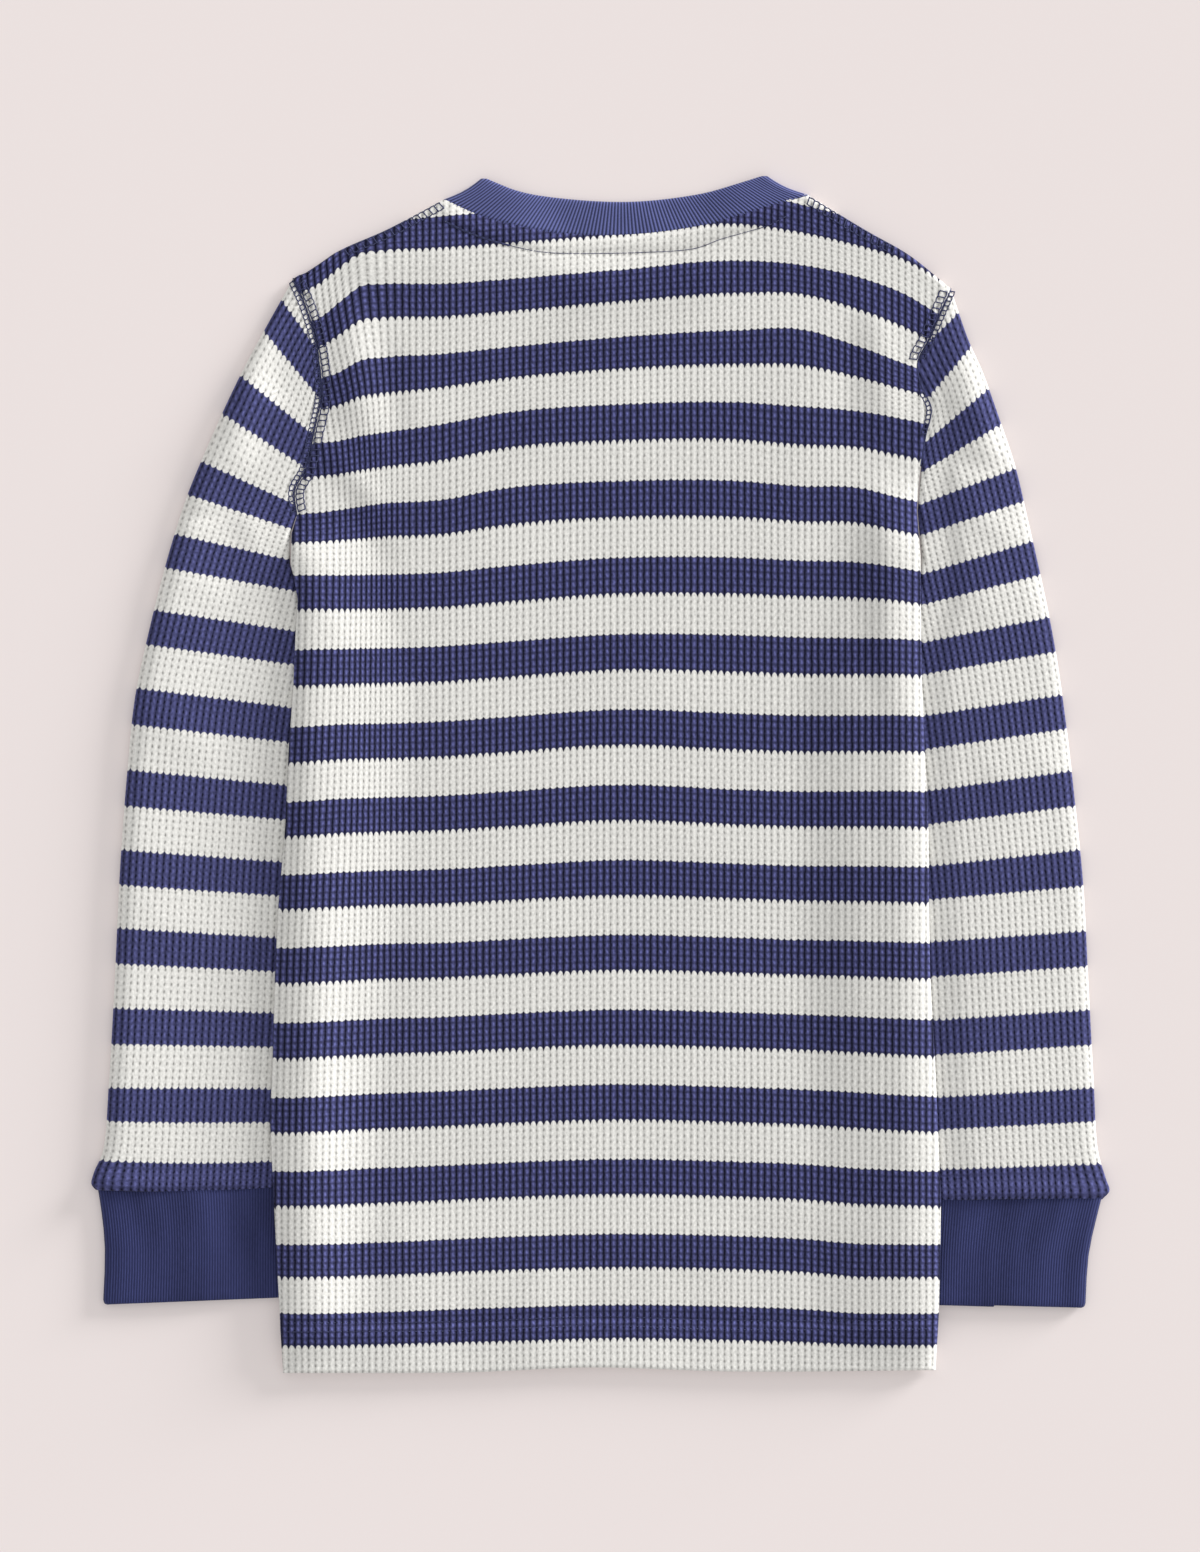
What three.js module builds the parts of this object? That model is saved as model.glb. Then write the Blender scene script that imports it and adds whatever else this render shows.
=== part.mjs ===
// A child's long-sleeved thermal top in striped waffle knit, laid flat with its front down.
// Millimetres. +X runs to the right of the laid garment, +Y towards its neck and +Z up from
// the surface that it lies on. The origin lies under the middle of the whole garment.
// "Left" and "right" are those of someone who looks down on the laid garment.
import * as THREE from "three";

// The cloth
const WALL = 1.8; // one layer of waffle knit or rib
const LAYER_GAP = 0.7; // air between two layers that lie on each other
const SEAM_GAP = 0.3; // between pieces that are sewn together
const BAND_GAP = 0.6; // between the neckline and the curved seam of the neck band
const HEM_EXTRA = 0.7; // what the turned-up cloth adds to the wall
const HEM_SECTIONS = 2; // the body's first sections, which are that thick

// A folded edge: the outer and inner radius of the cloth that turns over there
const OUTER_RADIUS = WALL + LAYER_GAP / 2;
const INNER_RADIUS = LAYER_GAP / 2;
const FOLD_ANGLES = [0, 30, 60];

// The body rides over the sleeves that are tucked under its sides
const TUCK_LIFT = 2 * OUTER_RADIUS + SEAM_GAP;
const TUCK_SHELF = 6; // how far the full lift reaches past the edge of the sleeve
const TUCK_RUN = 34; // width over which the body comes down to the surface again
const CUFF_END_Y = -236; // below this the body comes down to its hem

// The body's side edges from the hem to the underarms, one row for each section
const BODY_SECTIONS = [
  { at: "hem", leftX: -139.8, leftY: -262.6, rightX: 147.6, rightY: -261.3 },
  { at: "hem stitch", leftX: -140.8, leftY: -244.1, rightX: 148.5, rightY: -242.8 },
  { at: "above hem stitch", leftX: -140.9, leftY: -242.6, rightX: 148.6, rightY: -241.3 },
  { at: "end of cuffs", leftX: -141.1, leftY: -236, rightX: 148.9, rightY: -236 },
  { at: "low hip", leftX: -142.6, leftY: -210, rightX: 149.5, rightY: -210 },
  { at: "hip", leftX: -143.7, leftY: -187, rightX: 149.8, rightY: -187 },
  { at: "high hip", leftX: -145.4, leftY: -151, rightX: 148.4, rightY: -151 },
  { at: "low waist", leftX: -144.1, leftY: -121, rightX: 147, rightY: -121 },
  { at: "waist", leftX: -143.2, leftY: -87, rightX: 145.1, rightY: -87 },
  { at: "high waist", leftX: -141.7, leftY: -57, rightX: 144.5, rightY: -57 },
  { at: "ribs", leftX: -138.6, leftY: -21, rightX: 144.3, rightY: -21 },
  { at: "under chest", leftX: -137.1, leftY: 13, rightX: 142.7, rightY: 13 },
  { at: "chest", leftX: -135.1, leftY: 40, rightX: 141.5, rightY: 40 },
  { at: "full chest", leftX: -134.2, leftY: 62, rightX: 141.1, rightY: 62 },
  { at: "high chest", leftX: -133.1, leftY: 78, rightX: 141, rightY: 78 },
  { at: "full lift", leftX: -136.2, leftY: 93.5, rightX: 140.8, rightY: 97 },
  { at: "start of lift", leftX: -136, leftY: 107, rightX: 139.2, rightY: 117 },
  { at: "underarm", leftX: -133.6, leftY: 114.6, rightX: 140.9, rightY: 136.6 },
];

// The armhole seams from the underarm to the tip of the shoulder
const LEFT_ARMHOLE = [
  { x: -133.6, y: 114.6 },
  { x: -134.6, y: 126 },
  { x: -130, y: 135 },
  { x: -126, y: 152 },
  { x: -123, y: 168 },
  { x: -124.7, y: 189 },
  { x: -129.8, y: 207 },
  { x: -135.3, y: 219.3 },
];
const RIGHT_ARMHOLE = [
  { x: 140.9, y: 136.6 },
  { x: 143.2, y: 150 },
  { x: 145.6, y: 162 },
  { x: 141.2, y: 172 },
  { x: 139.6, y: 182 },
  { x: 144.5, y: 192.5 },
  { x: 148.6, y: 202 },
  { x: 154.2, y: 214.9 },
];

// The shoulders from the neck point to the tip
const LEFT_SHOULDER = [
  { x: -69, y: 254.2 },
  { x: -94, y: 240.9 },
  { x: -115, y: 231.6 },
  { x: -135.3, y: 219.3 },
];
const RIGHT_SHOULDER = [
  { x: 90.7, y: 256.5 },
  { x: 117, y: 240.5 },
  { x: 136, y: 229.6 },
  { x: 154.2, y: 214.9 },
];

// The seams that join the neck band to the back and to the front, from left to right
const BACK_NECK = [
  { x: -69, y: 254.2 },
  { x: -52, y: 246.8 },
  { x: -18, y: 239.6 },
  { x: 11, y: 238.7 },
  { x: 44, y: 242.7 },
  { x: 66, y: 249.1 },
  { x: 90.7, y: 256.5 },
];
const FRONT_NECK = [
  { x: -69, y: 254.2 },
  { x: -66, y: 238 },
  { x: -55, y: 213 },
  { x: -30, y: 193 },
  { x: 11, y: 184.5 },
  { x: 52, y: 194 },
  { x: 77, y: 214 },
  { x: 88, y: 239 },
  { x: 90.7, y: 256.5 },
];

// The free edge of the neck band, on the back and on the front
const BACK_NECK_EDGE = [
  { x: -51.9, y: 264 },
  { x: -36, y: 257.8 },
  { x: -18, y: 254.8 },
  { x: 13, y: 253.2 },
  { x: 44, y: 256.7 },
  { x: 60, y: 261 },
  { x: 72.8, y: 265 },
];
const FRONT_NECK_EDGE = [
  { x: -51.9, y: 264 },
  { x: -50, y: 246 },
  { x: -41, y: 227 },
  { x: -22, y: 211 },
  { x: 11, y: 203.5 },
  { x: 44, y: 212 },
  { x: 63, y: 228 },
  { x: 71, y: 247 },
  { x: 72.8, y: 265 },
];

// The hem's lower edge as it lies
const HEM_EDGE = [
  { x: -139.8, y: -262.6 },
  { x: -60, y: -262.4 },
  { x: -5, y: -260.2 },
  { x: 60, y: -262 },
  { x: 147.6, y: -261.3 },
];

// Sections across each sleeve, from the armhole to the cuff. innerY is where the section
// meets the fold beside the body, and tuck is how far that fold lies under the body.
const LEFT_SLEEVE_SECTIONS = [
  { innerY: 111, tuck: -0.5, outerX: -148, outerY: 196.7 },
  { innerY: 107, tuck: -0.5, outerX: -156, outerY: 182 },
  { innerY: 93.5, tuck: -0.5, outerX: -165, outerY: 163.5 },
  { innerY: 78, tuck: 1, outerX: -173.7, outerY: 144 },
  { innerY: 62, tuck: 9, outerX: -182.5, outerY: 122.5 },
  { innerY: 40, tuck: 15, outerX: -191.2, outerY: 94.5 },
  { innerY: 13, tuck: 17, outerX: -198.2, outerY: 67 },
  { innerY: -21, tuck: 17, outerX: -205, outerY: 35 },
  { innerY: -54, tuck: 16, outerX: -208.8, outerY: -2 },
  { innerY: -87, tuck: 14, outerX: -211.7, outerY: -42 },
  { innerY: -118, tuck: 12, outerX: -213.9, outerY: -88 },
  { innerY: -146, tuck: 10, outerX: -216.5, outerY: -134 },
  { innerY: -165, tuck: 9, outerX: -219.2, outerY: -165 },
  { innerY: -176, tuck: 9, outerX: -223.2, outerY: -174.6 },
  { innerY: -181.5, tuck: 8.5, outerX: -224.2, outerY: -179.6 },
  { innerY: -184.6, tuck: 7.5, outerX: -221.6, outerY: -183 },
];
const RIGHT_SLEEVE_SECTIONS = [
  { innerY: 130, tuck: -0.5, outerX: 162.2, outerY: 192 },
  { innerY: 117, tuck: -0.5, outerX: 168.4, outerY: 178 },
  { innerY: 97, tuck: -0.5, outerX: 176.3, outerY: 156 },
  { innerY: 78, tuck: 2, outerX: 182.9, outerY: 136 },
  { innerY: 62, tuck: 10, outerX: 188.3, outerY: 113 },
  { innerY: 40, tuck: 17, outerX: 194, outerY: 88 },
  { innerY: 13, tuck: 19, outerX: 200.2, outerY: 57 },
  { innerY: -21, tuck: 20, outerX: 205, outerY: 24 },
  { innerY: -54, tuck: 20, outerX: 209, outerY: -11 },
  { innerY: -87, tuck: 20, outerX: 212.7, outerY: -48 },
  { innerY: -118, tuck: 19, outerX: 214.9, outerY: -90 },
  { innerY: -146, tuck: 19, outerX: 217.3, outerY: -135 },
  { innerY: -165, tuck: 19, outerX: 219.2, outerY: -165 },
  { innerY: -177, tuck: 19, outerX: 222.6, outerY: -177 },
  { innerY: -182.5, tuck: 18.5, outerX: 224.2, outerY: -182.6 },
  { innerY: -185.6, tuck: 18, outerX: 221, outerY: -186.4 },
];

// Sections down each cuff, from the sleeve to its free edge
const LEFT_CUFF_SECTIONS = [
  { innerX: -137.6, innerY: -184.9, outerX: -219.8, outerY: -183.3 },
  { innerX: -138, innerY: -194, outerX: -218.6, outerY: -194 },
  { innerX: -138.6, innerY: -210, outerX: -217.7, outerY: -210 },
  { innerX: -138.4, innerY: -227.5, outerX: -218.8, outerY: -231.6 },
];
const RIGHT_CUFF_SECTIONS = [
  { innerX: 134, innerY: -185.9, outerX: 218.9, outerY: -186.7 },
  { innerX: 133.6, innerY: -196, outerX: 216.6, outerY: -198 },
  { innerX: 133.2, innerY: -212, outerX: 214, outerY: -213 },
  { innerX: 133, innerY: -230.5, outerX: 212.9, outerY: -233.2 },
];

// How far the back's cloth stands off the front in its largest folds. Each fold is a soft
// ridge from one end to the other, with its half width and its height.
const BACK_FOLDS = [
  { at: "left armhole pucker", x1: -112, y1: 212, x2: -104, y2: 148, half: 10, high: 1.7 },
  { at: "left shoulder", x1: -60, y1: 236, x2: -112, y2: 222, half: 12, high: 0.9 },
  { at: "right armhole", x1: 120, y1: 210, x2: 128, y2: 150, half: 9, high: 1.4 },
  { at: "right side", x1: 124, y1: 128, x2: 128, y2: 30, half: 8, high: 1.3 },
  { at: "under the neck", x1: -18, y1: 215, x2: 60, y2: 222, half: 14, high: 1 },
  { at: "left hem", x1: -96, y1: -262, x2: -84, y2: -190, half: 16, high: 1.1 },
  { at: "right hem", x1: 92, y1: -262, x2: 100, y2: -176, half: 18, high: 1.2 },
];
const LEFT_SLEEVE_FOLDS = [
  { at: "upper arm", x1: -150, y1: 176, x2: -162, y2: 132, half: 9, high: 1.5 },
  { at: "elbow", x1: -198, y1: 30, x2: -168, y2: 8, half: 12, high: 1 },
];
const RIGHT_SLEEVE_FOLDS = [
  { at: "upper arm", x1: 160, y1: 184, x2: 172, y2: 138, half: 9, high: 1.5 },
  { at: "elbow", x1: 200, y1: 12, x2: 170, y2: -6, half: 12, high: 1 },
];

// Inside the front neckline the back sinks towards the surface
const NECK_SAG = { x: 11, y: 262, halfWidth: 56, depth: 52, drop: 2 };

// Where the neckline starts and ends, as shares of the body's width
const NECK_START = 0.229;
const NECK_END = 0.781;

// Mean sizes, which turn a fold's radius into a share of a piece
const BODY_WIDTH = 285;
const BODY_HEIGHT = 480;
const SLEEVE_WIDTH = 88;
const NECK_LENGTH = 165;

const ARMHOLE_STEPS = [0.02, 0.14, 0.28, 0.42, 0.56, 0.7, 0.84]; // shares of the seam
const SEAM_BULGE = { sections: 4, power: 5 }; // how the armhole's curve fades out down a sleeve
const HEM_DIP_POWER = 6; // how quickly the hem's curve fades out up the body
const FOLD_FADE = 2.2; // how quickly a soft ridge sinks beyond its ends
const NECK_SAG_LEVEL = 0.55; // inside this share of its reach the sag has its full depth
const SAME = 1e-6; // shares of a width that differ by less are the same

// How far the upper layers of a sleeve and a cuff rise, and the shares of the width between
// which they rise and fall. The first sections of a sleeve, and its last, are flatter.
const SLEEVE_PUFF = { high: 1.9, rise: [0.3, 0.55], fall: [0.75, 1], sections: 3, end: 0.35 };
const CUFF_PUFF = { high: 0.6, rise: [0.3, 0.5], fall: [0.7, 1] };
const SLEEVE_FOLD_RISE = [0.25, 0.5]; // a sleeve's folds fade out beside the body

const IVORY = 0xdedbd4;
const NAVY = 0x3e4266;

const { lerp, smoothstep, degToRad } = THREE.MathUtils;

function smoothCurve(rows) {
  const points = rows.map((row) => new THREE.Vector3(row.x, row.y, 0));
  return new THREE.CatmullRomCurve3(points, false, "centripetal");
}

// How much of a puff stands at a share of the width
function puffShare(puff, u) {
  return smoothstep(u, ...puff.rise) * (1 - smoothstep(u, ...puff.fall));
}

function pointOn(curve, share) {
  return curve.getPointAt(THREE.MathUtils.clamp(share, 0, 1));
}

const leftArmhole = smoothCurve(LEFT_ARMHOLE);
const rightArmhole = smoothCurve(RIGHT_ARMHOLE);
const leftShoulder = smoothCurve([...LEFT_SHOULDER].reverse());
const rightShoulder = smoothCurve(RIGHT_SHOULDER);
const backNeck = smoothCurve(BACK_NECK);
const frontNeck = smoothCurve(FRONT_NECK);
const hemEdge = smoothCurve(HEM_EDGE);
const leftTip = pointOn(leftArmhole, 1);
const rightTip = pointOn(rightArmhole, 1);

// The x of the body's side edge at a height y, on side -1 (left) or 1 (right)
function bodyEdgeX(side, y) {
  const [xKey, yKey] = side < 0 ? ["leftX", "leftY"] : ["rightX", "rightY"];
  const last = BODY_SECTIONS.length - 1;
  const above = BODY_SECTIONS.findIndex((row) => row[yKey] > y);
  const upper = above < 0 ? last : Math.max(above, 1);
  const [a, b] = [BODY_SECTIONS[upper - 1], BODY_SECTIONS[upper]];
  const share = THREE.MathUtils.clamp((y - a[yKey]) / (b[yKey] - a[yKey]), 0, 1);
  return lerp(a[xKey], b[xKey], share);
}

// How far the sleeve's fold lies under the body's side at a height y
function tuckAt(side, y) {
  const rows = side < 0 ? LEFT_SLEEVE_SECTIONS : RIGHT_SLEEVE_SECTIONS;
  const below = rows.findIndex((row) => row.innerY < y);
  if (below === 0) return rows[0].tuck;
  if (below < 0) return rows[rows.length - 1].tuck;
  const [a, b] = [rows[below - 1], rows[below]];
  return lerp(a.tuck, b.tuck, (a.innerY - y) / (a.innerY - b.innerY));
}

// The lift of both layers of the body over the tucked sleeves
function sideLift(x, y) {
  let lift = 0;
  for (const side of [-1, 1]) {
    const armhole = side < 0 ? LEFT_ARMHOLE[0] : RIGHT_ARMHOLE[0];
    const start = BODY_SECTIONS.find((row) => row.at === "full lift");
    const fullY = side < 0 ? start.leftY : start.rightY;
    const inward = side * (bodyEdgeX(side, y) - x);
    const shelf = Math.max(tuckAt(side, y), 0) + TUCK_SHELF;
    const across = 1 - smoothstep(inward, shelf, shelf + TUCK_RUN);
    const nearArm = 1 - smoothstep(y, fullY, armhole.y);
    const nearHem = smoothstep(y, BODY_SECTIONS[0].leftY, CUFF_END_Y);
    lift += TUCK_LIFT * across * nearArm * nearHem;
  }
  return lift;
}

// The height of soft ridges at a place, highest in the middle of their length
function foldHeight(folds, x, y) {
  let height = 0;
  for (const fold of folds) {
    const [dx, dy] = [fold.x2 - fold.x1, fold.y2 - fold.y1];
    const length = Math.hypot(dx, dy);
    const along = ((x - fold.x1) * dx + (y - fold.y1) * dy) / length ** 2;
    const away = ((x - fold.x1) * dy - (y - fold.y1) * dx) / length;
    const beyond = Math.max(Math.abs(along - 0.5) - 0.25, 0) * 2;
    height += fold.high * Math.exp(-((away / fold.half) ** 2) - (beyond * FOLD_FADE) ** 2);
  }
  return height;
}

function neckSag(x, y) {
  const across = (x - NECK_SAG.x) / NECK_SAG.halfWidth;
  const down = (y - NECK_SAG.y) / NECK_SAG.depth;
  return NECK_SAG.drop * (1 - smoothstep(Math.hypot(across, down), NECK_SAG_LEVEL, 1));
}

// Steps across a piece from one edge to the other, with close steps where a fold turns
function stepsAcross(width, inner) {
  const edge = OUTER_RADIUS / width;
  return [
    ...FOLD_ANGLES.map((angle) => ({ fold: -1, angle })),
    ...[edge, ...inner, 1 - edge].map((u) => ({ fold: 0, u })),
    ...[...FOLD_ANGLES].reverse().map((angle) => ({ fold: 1, angle })),
  ];
}

// Where a step lies as a share of the width, and how much of its radius it rises there.
// roundness is 1 on a folded edge and 0 on an edge that is sewn flat to its neighbour.
function placeStep(step, width, radius, roundness) {
  if (step.fold === 0) return { share: step.u, rise: 1 };
  const angle = degToRad(step.angle);
  const rounded = OUTER_RADIUS - radius * Math.cos(angle);
  const flat = (OUTER_RADIUS * step.angle) / 90;
  const inset = lerp(flat, rounded, roundness) / width;
  const share = step.fold < 0 ? inset : 1 - inset;
  return { share, rise: lerp(1, Math.sin(angle), roundness) };
}

function meshGeometry(points, quads) {
  const positions = new Float32Array(points.flatMap((p) => [p.x, p.y, p.z]));
  const index = quads.flatMap(([a, b, c, d]) => [a, b, c, a, c, d]);
  let volume = 0;
  for (let i = 0; i < index.length; i += 3) {
    const [a, b, c] = [0, 1, 2].map((k) => points[index[i + k]]);
    volume += a.dot(b.clone().cross(c));
  }
  if (volume < 0) {
    for (let i = 0; i < index.length; i += 3) {
      [index[i + 1], index[i + 2]] = [index[i + 2], index[i + 1]];
    }
  }
  const geometry = new THREE.BufferGeometry();
  geometry.setAttribute("position", new THREE.BufferAttribute(positions, 3));
  geometry.setIndex(index);
  geometry.computeVertexNormals();
  return geometry;
}

// A closed wall between an outer and an inner grid of points. In a ring the last column
// joins the first, and otherwise both sides are closed by rims.
function wallGeometry(outer, inner, ring) {
  const [rows, columns] = [outer.length, outer[0].length];
  const at = (layer, row, column) => (layer * rows + row) * columns + (column % columns);
  const quads = [];
  const spans = ring ? columns : columns - 1;
  for (let row = 0; row < rows - 1; row++) {
    for (let column = 0; column < spans; column++) {
      const [next, right] = [row + 1, column + 1];
      quads.push([at(0, row, column), at(0, row, right), at(0, next, right), at(0, next, column)]);
      quads.push([at(1, row, column), at(1, next, column), at(1, next, right), at(1, row, right)]);
    }
  }
  for (let column = 0; column < spans; column++) {
    const right = column + 1;
    const end = rows - 1;
    quads.push([at(0, 0, right), at(0, 0, column), at(1, 0, column), at(1, 0, right)]);
    quads.push([at(0, end, column), at(0, end, right), at(1, end, right), at(1, end, column)]);
  }
  if (!ring) {
    const end = columns - 1;
    for (let row = 0; row < rows - 1; row++) {
      const next = row + 1;
      quads.push([at(0, row, 0), at(0, next, 0), at(1, next, 0), at(1, row, 0)]);
      quads.push([at(0, next, end), at(0, row, end), at(1, row, end), at(1, next, end)]);
    }
  }
  return meshGeometry([...outer.flat(), ...inner.flat()], quads);
}

// A row between the armholes. Its line runs straight from left to right, and leftBend and
// rightBend are how far the curved armhole seams lie away from its ends.
function armholeRow(share) {
  const [left, right] = [pointOn(leftArmhole, 0), pointOn(rightArmhole, 0)];
  left.lerp(leftTip, share);
  right.lerp(rightTip, share);
  const leftBend = pointOn(leftArmhole, share).sub(left);
  const rightBend = pointOn(rightArmhole, share).sub(right);
  return { left, right, leftBend, rightBend };
}

// The rows of a body panel from the hem to the shoulders
function bodyRows() {
  const hemY = BODY_SECTIONS[0].leftY;
  const straight = new THREE.Vector3();
  const rows = BODY_SECTIONS.map((row, index) => ({
    extra: index < HEM_SECTIONS ? HEM_EXTRA : 0,
    left: new THREE.Vector3(row.leftX, row.leftY, 0),
    right: new THREE.Vector3(row.rightX, row.rightY, 0),
    leftBend: straight,
    rightBend: straight,
    roundness: 1,
    step: { fold: 0 },
  }));
  for (const share of ARMHOLE_STEPS) {
    rows.push({ ...armholeRow(share), roundness: 0, step: { fold: 0 } });
  }
  for (const row of rows) row.height = (row.left.y - hemY) / (leftTip.y - hemY);
  const topSteps = [90, ...[...FOLD_ANGLES].reverse()];
  for (const angle of topSteps) rows.push({ roundness: 0, step: { fold: 1, angle } });
  return rows;
}

// The upper outline of a body panel: shoulder, neckline, shoulder
function topEdge(neck, u) {
  if (u < NECK_START) return pointOn(leftShoulder, u / NECK_START);
  if (u > NECK_END) return pointOn(rightShoulder, (u - NECK_END) / (1 - NECK_END));
  return pointOn(neck, (u - NECK_START) / (NECK_END - NECK_START));
}

// A place on a body panel, u across and one row up
function bodyPlace(neck, row, height, u) {
  const armShare = (height - 1) * (BODY_HEIGHT / leftArmhole.getLength()) + 1;
  const line = row.left ? row : armholeRow(armShare);
  const [hemLeft, hemRight] = [pointOn(hemEdge, 0), pointOn(hemEdge, 1)];
  const rise = topEdge(neck, u).sub(leftTip.clone().lerp(rightTip, u));
  const dip = pointOn(hemEdge, u).sub(hemLeft.lerp(hemRight, u));
  return line.left
    .clone()
    .lerp(line.right, u)
    .addScaledVector(line.leftBend, 1 - smoothstep(u, 0, NECK_START))
    .addScaledVector(line.rightBend, smoothstep(u, NECK_END, 1))
    .addScaledVector(rise, height)
    .addScaledVector(dip, (1 - height) ** HEM_DIP_POWER);
}

const BODY_INNER_STEPS = [
  ...[0.03, 0.065, 0.105, 0.15, 0.19, NECK_START, NECK_START + 0.01],
  ...[0.28, 0.335, 0.39, 0.445, 0.505, 0.565, 0.62, 0.675, 0.73],
  ...[NECK_END - 0.01, NECK_END, 0.82, 0.86, 0.9, 0.94, 0.97],
];

// One body panel. layer is 1 for the upper panel (the back) and -1 for the lower one.
function bodyPanel(neck, layer) {
  const steps = stepsAcross(BODY_WIDTH, BODY_INNER_STEPS);
  const grids = [OUTER_RADIUS, INNER_RADIUS].map((radius) =>
    bodyRows().map((row) =>
      steps.map((step) => {
        const { share: u, rise: sideRise } = placeStep(step, BODY_WIDTH, radius, row.roundness);
        const onShoulder = u <= NECK_START + SAME || u >= NECK_END - SAME;
        const top = placeStep(row.step, BODY_HEIGHT, radius, onShoulder ? 1 : 0);
        const isTop = row.step.fold === 1;
        const place = bodyPlace(neck, row, isTop ? top.share : row.height, u);
        const topRise = isTop ? top.rise : 1;
        const extra = row.extra ?? 0;
        const middle = OUTER_RADIUS + extra + sideLift(place.x, place.y);
        const outward = radius === OUTER_RADIUS ? radius + extra : radius;
        const standOff = Math.max(outward * sideRise * topRise, SEAM_GAP / 2);
        place.z = middle + layer * standOff;
        if (layer > 0) {
          const soft = foldHeight(BACK_FOLDS, place.x, place.y) * sideRise * topRise;
          place.z += soft - neckSag(place.x, place.y);
        }
        return place;
      }),
    ),
  );
  return wallGeometry(grids[0], grids[1], false);
}

// A tube pressed flat: an upper and a lower layer joined by a fold at each side. upper and
// lower give the place of a point u across on section v, and standing(u, v, place) says
// how far the upper layer rises there.
function flatTube({ upper, lower, sections, width, inner, standing }) {
  const steps = stepsAcross(width, inner);
  const around = [
    ...steps.map((step) => ({ step, layer: step.angle === 0 ? 0 : 1 })),
    ...steps.filter((step) => step.angle !== 0).reverse().map((step) => ({ step, layer: -1 })),
  ];
  const grids = [OUTER_RADIUS, INNER_RADIUS].map((radius) =>
    sections.map((v) =>
      around.map(({ step, layer }) => {
        const { share: u, rise } = placeStep(step, width, radius, 1);
        const [above, below] = [upper(u, v), lower(u, v)];
        const place = layer < 0 ? below : above;
        place.z = OUTER_RADIUS + layer * radius * rise;
        if (layer > 0) place.z += standing(u, v, place) * rise;
        return place;
      }),
    ),
  );
  return wallGeometry(grids[0], grids[1], true);
}

// A sleeve between the armhole seam and its cuff, on side -1 (left) or 1 (right)
function sleeve(side, rows, armhole, folds) {
  const seam = (u) => pointOn(armhole, u).add(new THREE.Vector3(side * SEAM_GAP, 0, 0));
  const tuckedEnd = ({ innerY, tuck }) =>
    new THREE.Vector3(bodyEdgeX(side, innerY) - side * tuck, innerY, 0);
  const innerEnds = [seam(0), ...rows.map(tuckedEnd)];
  const outerEnds = [seam(1), ...rows.map((row) => new THREE.Vector3(row.outerX, row.outerY, 0))];
  const last = innerEnds.length - 1;
  const place = (u, v) => {
    const bulge = seam(u).sub(seam(0).lerp(seam(1), u));
    const fade = Math.max(1 - v / SEAM_BULGE.sections, 0) ** SEAM_BULGE.power;
    return innerEnds[v].clone().lerp(outerEnds[v], u).addScaledVector(bulge, fade);
  };
  const standing = (u, v, at) => {
    const puff = SLEEVE_PUFF.high * puffShare(SLEEVE_PUFF, u);
    const along = smoothstep(v, 0, SLEEVE_PUFF.sections) * (v === last ? SLEEVE_PUFF.end : 1);
    const fold = foldHeight(folds, at.x, at.y) * smoothstep(u, ...SLEEVE_FOLD_RISE);
    return (puff + fold) * along;
  };
  return flatTube({
    upper: place,
    lower: place,
    sections: innerEnds.map((_, index) => index),
    width: SLEEVE_WIDTH,
    inner: ARMHOLE_STEPS.slice(1),
    standing,
  });
}

function cuff(rows) {
  const place = (u, v) => {
    const row = rows[v];
    return new THREE.Vector3(lerp(row.innerX, row.outerX, u), lerp(row.innerY, row.outerY, u), 0);
  };
  return flatTube({
    upper: place,
    lower: place,
    sections: rows.map((_, index) => index),
    width: SLEEVE_WIDTH,
    inner: [0.15, 0.3, 0.45, 0.6, 0.75, 0.88],
    standing: (u) => CUFF_PUFF.high * puffShare(CUFF_PUFF, u),
  });
}

// The neck band: one ring of rib, with its back arc on top and its front arc below, joined
// by a fold at each end of the shoulders. v runs from its seam to its free edge.
function neckBand() {
  const arc = (seam, edge) => {
    const [seamCurve, edgeCurve] = [smoothCurve(seam), smoothCurve(edge)];
    return (u, v) => {
      const [from, to] = [pointOn(seamCurve, u), pointOn(edgeCurve, u)];
      const start = BAND_GAP / from.distanceTo(to);
      return from.lerp(to, lerp(start, 1, v));
    };
  };
  const inner = BODY_INNER_STEPS.filter((u) => u > NECK_START && u < NECK_END);
  return flatTube({
    upper: arc(BACK_NECK, BACK_NECK_EDGE),
    lower: arc(FRONT_NECK, FRONT_NECK_EDGE),
    sections: [0, 1 / 3, 2 / 3, 1],
    width: NECK_LENGTH,
    inner: inner.map((u) => (u - NECK_START) / (NECK_END - NECK_START)),
    standing: (u, v, at) => -neckSag(at.x, at.y),
  });
}

function piece(name, geometry, color) {
  const material = new THREE.MeshStandardMaterial({ color, roughness: 0.92, metalness: 0 });
  const mesh = new THREE.Mesh(geometry, material);
  mesh.name = name;
  return mesh;
}

const thermalTop = new THREE.Group();
thermalTop.add(
  piece("back_panel", bodyPanel(backNeck, 1), IVORY),
  piece("front_panel", bodyPanel(frontNeck, -1), IVORY),
  piece("sleeve_left", sleeve(-1, LEFT_SLEEVE_SECTIONS, leftArmhole, LEFT_SLEEVE_FOLDS), IVORY),
  piece("sleeve_right", sleeve(1, RIGHT_SLEEVE_SECTIONS, rightArmhole, RIGHT_SLEEVE_FOLDS), IVORY),
  piece("cuff_left", cuff(LEFT_CUFF_SECTIONS), NAVY),
  piece("cuff_right", cuff(RIGHT_CUFF_SECTIONS), NAVY),
  piece("neck_band", neckBand(), NAVY),
);

export default thermalTop;
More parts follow.
